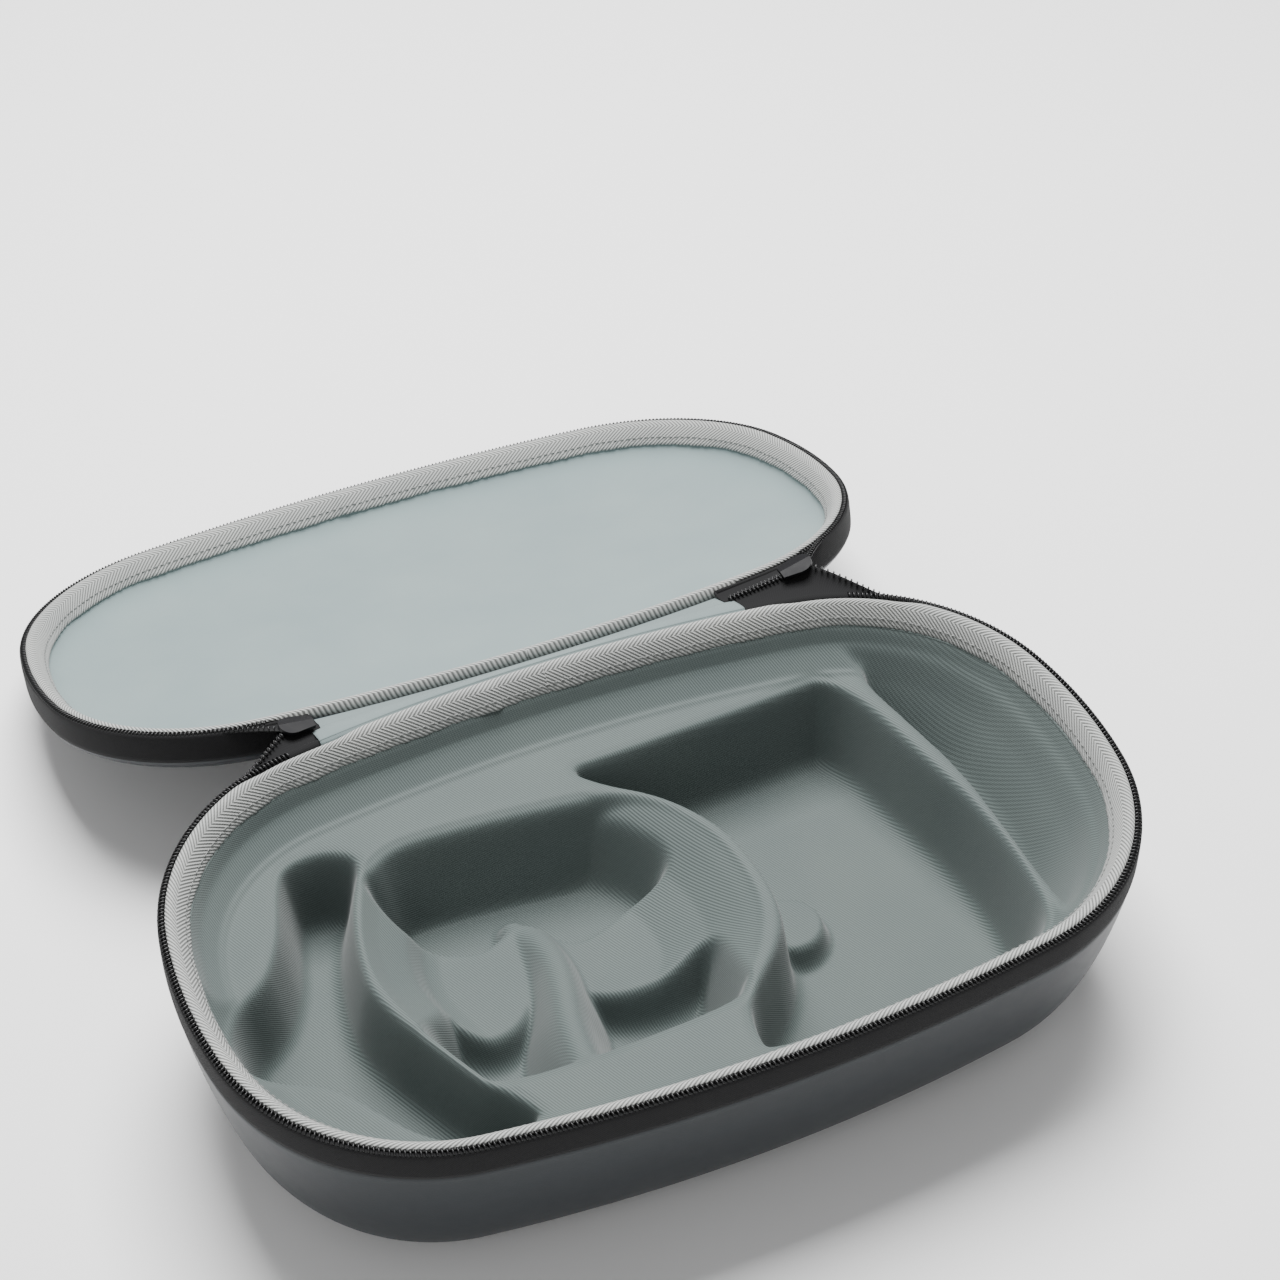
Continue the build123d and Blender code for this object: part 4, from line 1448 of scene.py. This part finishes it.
    def height(self, points: np.ndarray) -> np.ndarray:
        """Height of the tray's surface: the deck, cut by every well.

        Args:
            points: plan points.
        Returns:
            Heights.
        """
        inset = self.inset_of(points)
        field = self.deck_height(points, inset)
        main = self.main.field(points)
        boss = np.hypot(points[:, 0] - 47, points[:, 1] + 12)
        main = np.where(main < 10, soft_max(main, -50.5 - 3.0 * np.maximum(boss - 12, 0), 4), main)
        bowl = np.interp(inset, [0, self.edge, 12, 20, 30, 36, 42, 100],
                         [-5, self.edge_height, -10.2, -27, -45, -51.5, -54, -54])
        end = soft_max(Well(self.ridge, -70.0, 9.0).field(points), bowl, 5)
        for cut in (self.slot.field(points), main, end, self.face_well(points)):
            field = soft_min(field, cut, 1.6)
        return field

    def build(self, wardrobe: Wardrobe) -> bpy.types.Object:
        """Rows run across the tray at heights of a sine, so both ends of the grid close to a point.

        Args:
            wardrobe: the finishes.
        Returns:
            The tray's cloth.
        """
        along, wide, deep = self.half_width_at()
        turn = np.linspace(np.pi / 2, -np.pi / 2, self.rows)
        y = np.sin(turn) * deep.max()
        x = np.interp(-y, -deep, wide)
        at = np.interp(-y, -deep, along)
        across = np.linspace(-1, 1, self.columns)
        plan = np.stack([x[:, None] * across, y[:, None] + 0 * across], axis=-1)
        z = self.height(plan.reshape(-1, 2)).reshape(self.rows, self.columns)
        for _ in range(2):
            pad = np.pad(z, 1, mode="edge")
            z = 0.5 * z + 0.125 * (pad[:-2, 1:-1] + pad[2:, 1:-1] + pad[1:-1, :-2] + pad[1:-1, 2:])
        z += 0.1 * ripple(plan[..., 0] / 17, 11) * ripple(plan[..., 1] / 15, 12)
        z[:, 0] = z[:, -1] = self.edge_height
        z[0] = z[-1] = self.edge_height
        top = np.concatenate([plan, z[..., None]], axis=-1).reshape(-1, 3)
        ring_at = np.concatenate([at, self.case.outline.perimeter - at[-2:0:-1]])
        left = np.arange(self.rows) * self.columns
        ring = np.concatenate([left, left[-2:0:-1] + self.columns - 1])
        side = np.array([(10.6, -9.6), (11.5, -35), (16, -57), (22, -63.3)])
        skirt = self.case.outline.carry(side, ring_at)
        rings = [ring] + [len(top) + k * len(ring) + np.arange(len(ring)) for k in range(4)]
        points = np.concatenate([top, skirt.transpose(1, 0, 2).reshape(-1, 3)])
        faces = grid_faces(self.rows, self.columns, False, False).tolist()
        for upper, lower in zip(rings[:-1], rings[1:]):
            quads = np.stack([upper, lower, np.roll(lower, -1), np.roll(upper, -1)], axis=1)
            faces += quads.tolist()
        faces.append(rings[-1].tolist())
        thing = write_mesh("tray_cloth_cover", points, faces, None, self.case.rim)
        wardrobe.dress(thing, "tray")
        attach(thing, "base")
        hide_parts("headset_tray")
        return thing


# ---- Hinge cloths ----------------------------------------------------------------------------------


@dataclass
class HingeCloth:
    """Band of cloth across the hinge: up one half, over the gap in a soft arch, and down the other."""

    case: CaseFrame
    name: str
    replaced: str
    finish: str
    slot: str
    ends: tuple
    section: tuple
    arch: float
    thickness: float
    puff: float
    outward: float
    crown_rows: int = 70
    stations: int = 170
    ragged: float = 0.0
    lid_drop: float = 0.0
    split: bool = False
    blend_from: tuple = ()
    blend_to: tuple = ()

    def middle(self, along: np.ndarray) -> np.ndarray:
        """Middle surface of the band.

        The section's points give the base side; the lid side is the same with heights turned over, and moved
        with the lid. A cubic joins them with both ends upright.

        Args:
            along: distances along the outline.
        Returns:
            The grid of points.
        """
        side = np.array(self.section, float)
        fine = np.stack([np.interp(np.linspace(0, len(side) - 1, 16), np.arange(len(side)), side[:, k])
                         for k in range(2)], axis=1)
        base = self.case.outline.carry(fine, along)
        under = fine * np.array([1, -1]) + np.array([0, self.lid_drop])
        lid = self.case.opened(self.case.outline.carry(under, along))
        up = lid[:, -1] - lid[:, -2]
        up /= np.linalg.norm(up, axis=1, keepdims=True)
        rise = np.array([0, 0, self.arch])
        t = np.linspace(0, 1, self.crown_rows + 2)[1:-1][None, :, None]
        a, d = base[:, -1:], lid[:, -1:]
        b, c = a + rise, d + up[:, None] * self.arch
        crown = (1 - t)**3 * a + 3 * t * (1 - t)**2 * b + 3 * t * t * (1 - t) * c + t**3 * d
        return np.concatenate([base, crown, lid[:, ::-1]], axis=1)

    def build(self, wardrobe: Wardrobe) -> list[bpy.types.Object]:
        """Both faces of the band, a thickness apart, swollen between the seams and flat at the edges.

        A band that is split is made as two pieces that meet in the middle of the arch.

        Args:
            wardrobe: the finishes.
        Returns:
            The band, or its two parts.
        """
        along = np.linspace(self.ends[0], self.ends[1], self.stations)
        grid = self.middle(along)
        step_s, step_r = np.gradient(grid, axis=0), np.gradient(grid, axis=1)
        normal = np.cross(step_s, step_r)
        normal /= np.maximum(np.linalg.norm(normal, axis=2, keepdims=True), 1e-9)
        normal *= np.sign(normal[:, :1, 1:2]) * self.outward
        reach = np.cumsum(np.linalg.norm(step_r, axis=2), axis=1)
        edge = np.minimum(reach - reach[:, :1], reach[:, -1:] - reach)
        side = np.minimum(along - along[0], along[-1] - along)[:, None]
        edge = np.minimum(edge, side)
        swell = self.puff * (smooth_step(edge, 2.6, 6.0) + 0.45 * (1 - smooth_step(edge, 1.0, 2.6)))
        swell *= smooth_step(edge, 0.0, 0.8) * (1 + 0.12 * ripple(along / 11, 31)[:, None])
        pull = self.ragged * ripple(along / 2.0, 33)[:, None] * (1 - smooth_step(edge, 0.5, 2.5))
        half = self.thickness / 2
        outer = grid + normal * (half + swell + pull)[..., None]
        inner = grid - normal * half
        rows = grid.shape[1]
        cuts = [(0, rows // 2 + 1), (rows // 2, rows)] if self.split else [(0, rows)]
        made = []
        for half, (first, last) in zip(Half, cuts):
            loop = np.concatenate([inner[:, first:last], outer[:, first:last][:, ::-1]], axis=1)
            line = reach[len(along) // 2, first:last]
            across = np.concatenate([line, 2 * line[-1] - line[::-1] + 1, [2 * line[-1] - line[0] + 2]])
            name = f"{self.name}_{half.body}" if self.split else self.name
            band = swept(name, loop, along, across, self.case.rim, False)
            wardrobe.dress(band, self.finish)
            if self.split:
                self.fold(band, half)
            else:
                self.join(band)
            made.append(band)
        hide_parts(self.replaced)
        return made

    def fold(self, thing: bpy.types.Object, half: Half) -> None:
        """Makes a piece ride one half, with its own copy of the mesh.

        Args:
            thing: the piece.
            half: the half it rides on.
        """
        spots = np.array([[0, self.case.outline.half_width - 3.0, 2.0 * half.value],
                          [0, self.case.outline.half_width + 7.0, 2.0 * half.value]])
        spots = self.case.opened(spots, half) + np.array([0, 0, self.case.rim])
        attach(thing, half.body)
        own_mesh(thing)

    def join(self, thing: bpy.types.Object) -> None:
        """Keeps a piece where it is, with its placing baked into its points."""
        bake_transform(thing)

    def seam(self, wardrobe: Wardrobe, depth: float, half: Half) -> bpy.types.Object:
        """Stitches along one long edge of the band.

        Args:
            wardrobe: the finishes.
            depth: distance of the seam from the rim plane.
            half: the half that the seam lies on.
        Returns:
            The stitches.
        """
        along = np.arange(self.ends[0] + 3.5, self.ends[1] - 3.5, 3.0)
        plan, angle = self.case.outline.place(along, self.section[0][0] - self.thickness / 2 - 0.12)
        centres = np.concatenate([plan, np.full((len(along), 1), depth * half.value)], axis=1)
        out = np.stack([np.cos(angle), np.sin(angle), 0 * angle], axis=1)
        run = np.stack([-np.sin(angle), np.cos(angle), 0 * angle], axis=1)
        up = np.broadcast_to(np.array([0.0, 0.0, 1.0]), out.shape)
        zero = self.case.opened(np.zeros((1, 1, 3)), half)
        axes = self.case.opened(np.stack([up, run, out], axis=1), half) - zero
        shape, quads = bead_shape(2.2, 0.26, 0.2)
        places = self.case.opened(centres, half)
        row = repeated(f"{self.name}_stitches_{half.body}", shape, quads, places, axes, self.case.rim)
        wardrobe.dress(row, "dark_thread")
        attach(row, half.body)
        return row


# ---- Handle ----------------------------------------------------------------------------------------


@dataclass
class CarryHandle:
    """Rolled handle behind the case: a cover sewn round two cores, and the webbing that holds it."""

    case: CaseFrame
    length: float = 112.0
    out: float = 6.0
    height: float = -36.0
    half_height: float = 9.0
    strap_at: float = 49.8
    strap_wide: float = 10.0
    strap_thick: float = 2.0

    @property
    def back(self) -> float:
        """Distance of the handle's middle from the middle of the case."""
        return self.case.outline.half_width + self.out

    def lobes(self, turn: np.ndarray) -> np.ndarray:
        """Section of the cover: two rounds of 4 mm, 10 mm apart, with a waist between them.

        Args:
            turn: angles round the section.
        Returns:
            Offsets (outwards, up).
        """
        z = self.half_height * np.sin(turn)
        off = np.maximum(np.abs(z) - 5, 0)
        wide = np.sqrt(np.maximum(16 - off**2, 0)) - 1.6 * np.exp(-(z / 1.9)**2)
        return np.stack([np.sign(np.cos(turn)) * wide, z], axis=1)

    def cover(self, wardrobe: Wardrobe) -> bpy.types.Object:
        """The cover: its section carried along, smaller at the ends, with soft puckers along the seam.

        Args:
            wardrobe: the finishes.
        Returns:
            The cover.
        """
        ease = np.linspace(-1, 1, 150)
        x = self.length / 2 * np.sin(ease * np.pi / 2)
        gap = self.length / 2 - np.abs(x)
        size = 1 - 0.26 * (1 - smooth_step(gap, 0, 3.5))
        turn = np.linspace(0, 2 * np.pi, 65)[:-1]
        section = self.lobes(turn)
        waist = np.exp(-(section[:, 1] / 2.6)**2)
        pucker = 1 + 0.05 * np.sin(x / 0.95)[:, None] * waist * 0.6 + 0.015 * ripple(x / 8, 41)[:, None]
        y = self.back + section[None, :, 0] * size[:, None] * pucker
        z = self.height + section[None, :, 1] * size[:, None]
        grid = np.stack([x[:, None] + 0 * y, y, z], axis=-1)
        ends = []
        for row, sign in ((0, -1), (-1, 1)):
            middle = grid[row].mean(0)
            for share, push in ((0.75, 0.0), (0.4, -0.6)):
                inner = middle + (grid[row] - middle) * share
                inner[:, 0] += sign * push
                ends.append(inner)
        grid = np.concatenate([ends[1][None], ends[0][None], grid, ends[2][None], ends[3][None]])
        along = np.concatenate([[x[0] - 4, x[0] - 2], x, [x[-1] + 2, x[-1] + 4]])
        thing = swept("handle_rolled_cover", grid, along, np.linspace(0, 50, 65), self.case.rim, False)
        wardrobe.dress(thing, "handle")
        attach(thing, "handle")
        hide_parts("handle_grip_cover", "handle_cores")
        return thing

    def seam(self, wardrobe: Wardrobe) -> bpy.types.Object:
        """Stitches along the waist on both faces of the cover.

        Args:
            wardrobe: the finishes.
        Returns:
            The stitches.
        """
        x = np.arange(-self.length / 2 + 5, self.length / 2 - 4, 3.2)
        count = len(x)
        side = np.repeat([1.0, -1.0], count)
        x = np.concatenate([x, x])
        y = self.back + side * 2.62
        centres = np.stack([x, y, np.full(2 * count, self.height)], axis=1)
        axes = np.broadcast_to(np.array([[0, 0, 1.0], [1.0, 0, 0], [0, 1.0, 0]]), (2 * count, 3, 3))
        shape, quads = bead_shape(2.3, 0.3, 0.3)
        row = repeated("handle_seam_stitches", shape, quads, centres, axes, self.case.rim)
        wardrobe.dress(row, "dark_thread")
        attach(row, "handle")
        return row

    def strap_path(self) -> np.ndarray:
        """Middle line of a strap in (distance from the case's middle, height)."""
        b = self.case.outline.half_width
        line = [(b + 1.3, -6.7), (b + 1.6, -11), (b + 2.6, -17), (b + 4.9, -23), (b + 6.0, -27),
                (b + 6.0, -30.5)]
        return spaced(rounded(line, False), 34)

    def straps(self, wardrobe: Wardrobe) -> list[bpy.types.Object]:
        """Both straps, with rounded edges and a bar tack near the top.

        Args:
            wardrobe: the finishes.
        Returns:
            Straps and tacks.
        """
        path = self.strap_path()
        step = np.gradient(path, axis=0)
        step /= np.linalg.norm(step, axis=1, keepdims=True)
        normal = np.stack([-step[:, 1], step[:, 0]], axis=1)
        turn = np.linspace(0, 2 * np.pi, 33)[:-1]
        flat_x = np.sign(np.cos(turn)) * np.abs(np.cos(turn))**0.35 * self.strap_wide / 2
        flat_n = np.sign(np.sin(turn)) * np.abs(np.sin(turn))**0.6 * self.strap_thick / 2
        reach = np.concatenate([[0], np.cumsum(np.linalg.norm(np.diff(path, axis=0), axis=1))])
        made = []
        for sign, word in ((-1, "left"), (1, "right")):
            yz = path[:, None] + normal[:, None] * flat_n[None, :, None]
            x = sign * self.strap_at + flat_x[None] * (1 + 0.01 * ripple(reach / 2, 51)[:, None])
            grid = np.concatenate([x[..., None], yz], axis=-1)
            around = np.linspace(0, 24, 33)
            strap = swept(f"handle_strap_{word}_webbing", grid, reach, around, self.case.rim, False)
            wardrobe.dress(strap, "webbing")
            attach(strap, "handle")
            made.append(strap)
            made.append(self.tack(f"handle_strap_{word}_tack", sign, path, normal, wardrobe))
        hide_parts("handle_straps", "handle_strap_ends")
        return made

    def tack(self, name: str, sign: int, path: np.ndarray, normal: np.ndarray,
             wardrobe: Wardrobe) -> bpy.types.Object:
        """Bar tack: a close row of upright stitches across the strap, just under the patch.

        Args:
            name: name of the piece.
            sign: -1 for the left strap, 1 for the right.
            path: middle line of the strap.
            normal: its outward direction at each point.
            wardrobe: the finishes.
        Returns:
            The tack.
        """
        x = sign * self.strap_at + np.linspace(-3.9, 3.9, 16)
        spot = path[10] + normal[10] * self.strap_thick / 2 * 1.0
        centres = np.stack([x, np.full(16, spot[0]), np.full(16, spot[1])], axis=1)
        up = np.array([0, *(path[11] - path[10])])
        up /= np.linalg.norm(up)
        axes = np.broadcast_to(np.stack([np.array([1.0, 0, 0]), up, np.array([0, *normal[10]])]), (16, 3, 3))
        shape, quads = bead_shape(2.4, 0.26, 0.24)
        row = repeated(name, shape, quads, centres, axes, self.case.rim)
        wardrobe.dress(row, "dark_thread")
        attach(row, "handle")
        return row


# ---- Stage -----------------------------------------------------------------------------------------


@dataclass
class Studio:
    """Pale floor, soft light from above and the camera."""

    spot: tuple = (-0.2648, -0.5509, 0.7266)
    azimuth: float = -21.586
    elevation: float = 41.934
    roll: float = -2.002
    lens: float = 73.28
    shift: tuple = (0.0939, -0.0076)

    def floor(self) -> bpy.types.Object:
        """Wide pale floor with a slight unevenness in its finish."""
        mesh = bpy.data.meshes.new("studio_floor")
        reach = 6.0
        corners = [(-reach, -reach, 0), (reach, -reach, 0), (reach, reach, 0), (-reach, reach, 0)]
        mesh.from_pydata(corners, [], [(0, 1, 2, 3)])
        thing = bpy.data.objects.new("studio_floor", mesh)
        bpy.context.scene.collection.objects.link(thing)
        bench = NodeBench("studio_floor")
        place = bench.add("ShaderNodeTexCoord").outputs["Object"]
        drift = bench.noise(place, 2.0, 2.0)
        colour = bench.shades(drift, [(0.3, (0.92, 0.92, 0.92)), (0.7, (0.94, 0.94, 0.94))])
        normal = bench.bump(bench.noise(place, 300.0, 2.0), 0.05, 0.0001)
        thing.data.materials.append(bench.close(colour, 0.75, normal, Specular_IOR_Level=0.2))
        thing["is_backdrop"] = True
        return thing

    def lamp(self, name: str, place: tuple, size: float, power: float) -> bpy.types.Object:
        """Square soft light that faces the case.

        Args:
            name: its name.
            place: where it hangs, in metres.
            size: length of its side.
            power: its power in watts.
        Returns:
            The light.
        """
        light = bpy.data.lights.new(name, "AREA")
        light.shape = "SQUARE"
        light.size = size
        light.energy = power
        thing = bpy.data.objects.new(name, light)
        back = np.array(place, float) - np.array([0.0, 0.0, 0.05])
        back /= np.linalg.norm(back)
        side = np.cross([0.0, 1.0, 0.0], back)
        side /= np.linalg.norm(side)
        axes = np.stack([side, np.cross(back, side), back], axis=1)
        thing.matrix_world = Matrix([[*axes[k], place[k]] for k in range(3)] + [[0, 0, 0, 1]])
        bpy.context.scene.collection.objects.link(thing)
        return thing

    def camera(self) -> bpy.types.Object:
        """Camera turned by azimuth, elevation and roll, with a shift that keeps the case framed."""
        az, el, roll = (math.radians(v) for v in (self.azimuth, self.elevation, self.roll))
        back = np.array([math.sin(az) * math.cos(el), -math.cos(az) * math.cos(el), math.sin(el)])
        right = np.cross(-back, [0.0, 0.0, 1.0])
        right /= np.linalg.norm(right)
        up = np.cross(back, right)
        x = math.cos(roll) * right + math.sin(roll) * up
        y = -math.sin(roll) * right + math.cos(roll) * up
        data = bpy.data.cameras.new("camera")
        data.lens = self.lens
        data.sensor_width = 36.0
        data.shift_x, data.shift_y = self.shift
        data.clip_start, data.clip_end = 0.05, 30.0
        thing = bpy.data.objects.new("camera", data)
        thing.matrix_world = Matrix([[x[k], y[k], back[k], self.spot[k]] for k in range(3)] + [[0, 0, 0, 1]])
        bpy.context.scene.collection.objects.link(thing)
        bpy.context.scene.camera = thing
        return thing

    def world(self) -> None:
        """Near-white surroundings."""
        world = bpy.data.worlds.new("studio")
        world.use_nodes = True
        node = next(n for n in world.node_tree.nodes if n.type == "BACKGROUND")
        node.inputs[0].default_value = (1.0, 1.0, 1.0, 1)
        node.inputs[1].default_value = 0.42
        bpy.context.scene.world = world

    def build(self) -> None:
        """Floor, lights, camera and surroundings."""
        self.floor()
        self.world()
        self.lamp("top_light", (0.15, 0.55, 1.4), 0.9, 62.0)
        self.lamp("front_light", (-1.2, -0.9, 1.0), 1.0, 5.0)
        self.camera()


# ---- Whole case ------------------------------------------------------------------------------------


@dataclass
class CarryCase:
    """The whole case, built in order from the inside out."""

    case: CaseFrame
    wardrobe: Wardrobe

    def dress_nodes(self) -> None:
        """Puts finishes on the CAD nodes that stay: sliders, their links and grips."""
        for word in ("left", "right"):
            for node, finish in (("slider", "enamel"), ("pull_link", "enamel"), ("pull_grip", "rubber")):
                thing = frame["nodes"][f"{node}_{word}"]
                self.wardrobe.dress(thing, finish)

    def cloths(self) -> list[bpy.types.Object]:
        """The outer patch with its seams, and the strip inside the hinge."""
        b = self.case.outline.half_width
        lean = math.radians((self.case.open_angle - 180) / 2)
        start = (b + 1.3, -13.5)
        end = (start[0] + 1.2 * math.cos(lean), start[1] - 1.2 * math.sin(lean))
        patch = HingeCloth(self.case, "hinge_patch_cover", "hinge_outer_patch", "patch", "patch_skin",
                           (-80, 86), ((-0.7, -13.0), (-0.7, -9.0), (-0.7, -5.2)), 2.0, 0.8, 0.75,
                           outward=1.0, blend_from=start, blend_to=end)
        strip = HingeCloth(self.case, "hinge_strip_cloth", "hinge_inner_strip", "hinge", "hinge_cloth",
                           (-82, 88), ((3.6, -3.2), (2.6, -1.6), (1.6, -1.0)), 1.3, 0.5, 0.12,
                           outward=-1.0, ragged=0.12, lid_drop=3.8, split=True)
        made = patch.build(self.wardrobe) + strip.build(self.wardrobe)
        made += [patch.seam(self.wardrobe, 10.4, half) for half in Half]
        return made

    def build(self) -> list[bpy.types.Object]:
        """Every piece of the case.

        Returns:
            The new pieces.
        """
        case, dress = self.case, self.wardrobe
        end = case.outline.perimeter
        made = [
            ShellHalf(case, Half.BASE, BASE_DEPTH, 40.0, 45.0, 25.0, 7.0).skin(dress),
            ShellHalf(case, Half.LID, case.lid_depth, 48.0, 5.0, 30.0, 10.0).skin(dress),
            LidLining(case).build(dress),
            TrayCloth(case).build(dress),
        ]
        zones = ((84.0, 112.0), (end - 140.0, end - 104.0))
        for half, joint in ((Half.BASE, 24.0), (Half.LID, 452.0)):
            apron = 3.4 if half is Half.LID else 0.0
            made += EdgeBinding(case, half, joint, zones, apron=apron).build(dress)
            zipper = ZipperHalf(case, half, (85.5, end - 79.5), (101.0, end - 120.0))
            made += [zipper.tape(dress), zipper.teeth(dress)]
        made += ZipperEnds(case, (86.0, 80.0), (93.4, 110.6)).build(dress)
        made += self.cloths()
        handle = CarryHandle(case)
        made += [handle.cover(dress), handle.seam(dress), *handle.straps(dress)]
        self.dress_nodes()
        return made


def corners(label: str) -> str:
    """One line with the lowest and highest corner of what is shown, in millimetres.

    Args:
        label: what the line is called.
    Returns:
        The line.
    """
    low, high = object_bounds()
    return json.dumps({label: [[round(v / MM, 2) for v in low], [round(v / MM, 2) for v in high]]})


def main() -> None:
    """Builds the case and its stage."""
    logging.basicConfig(level=logging.INFO, format="%(message)s")
    lines = [corners("frame_mm")]
    case = CaseFrame.from_frame(frame)
    log.info("outline %.2f mm round", case.outline.perimeter)
    made = CarryCase(case, Wardrobe(FinishSet())).build()
    for piece in made:
        log.info("%s: %d faces", piece.name, len(piece.data.polygons))
    Studio().build()
    lines.append(corners("visual_mm"))
    "\n".join(lines) + "\n"


if __name__ == "__main__":
    main()
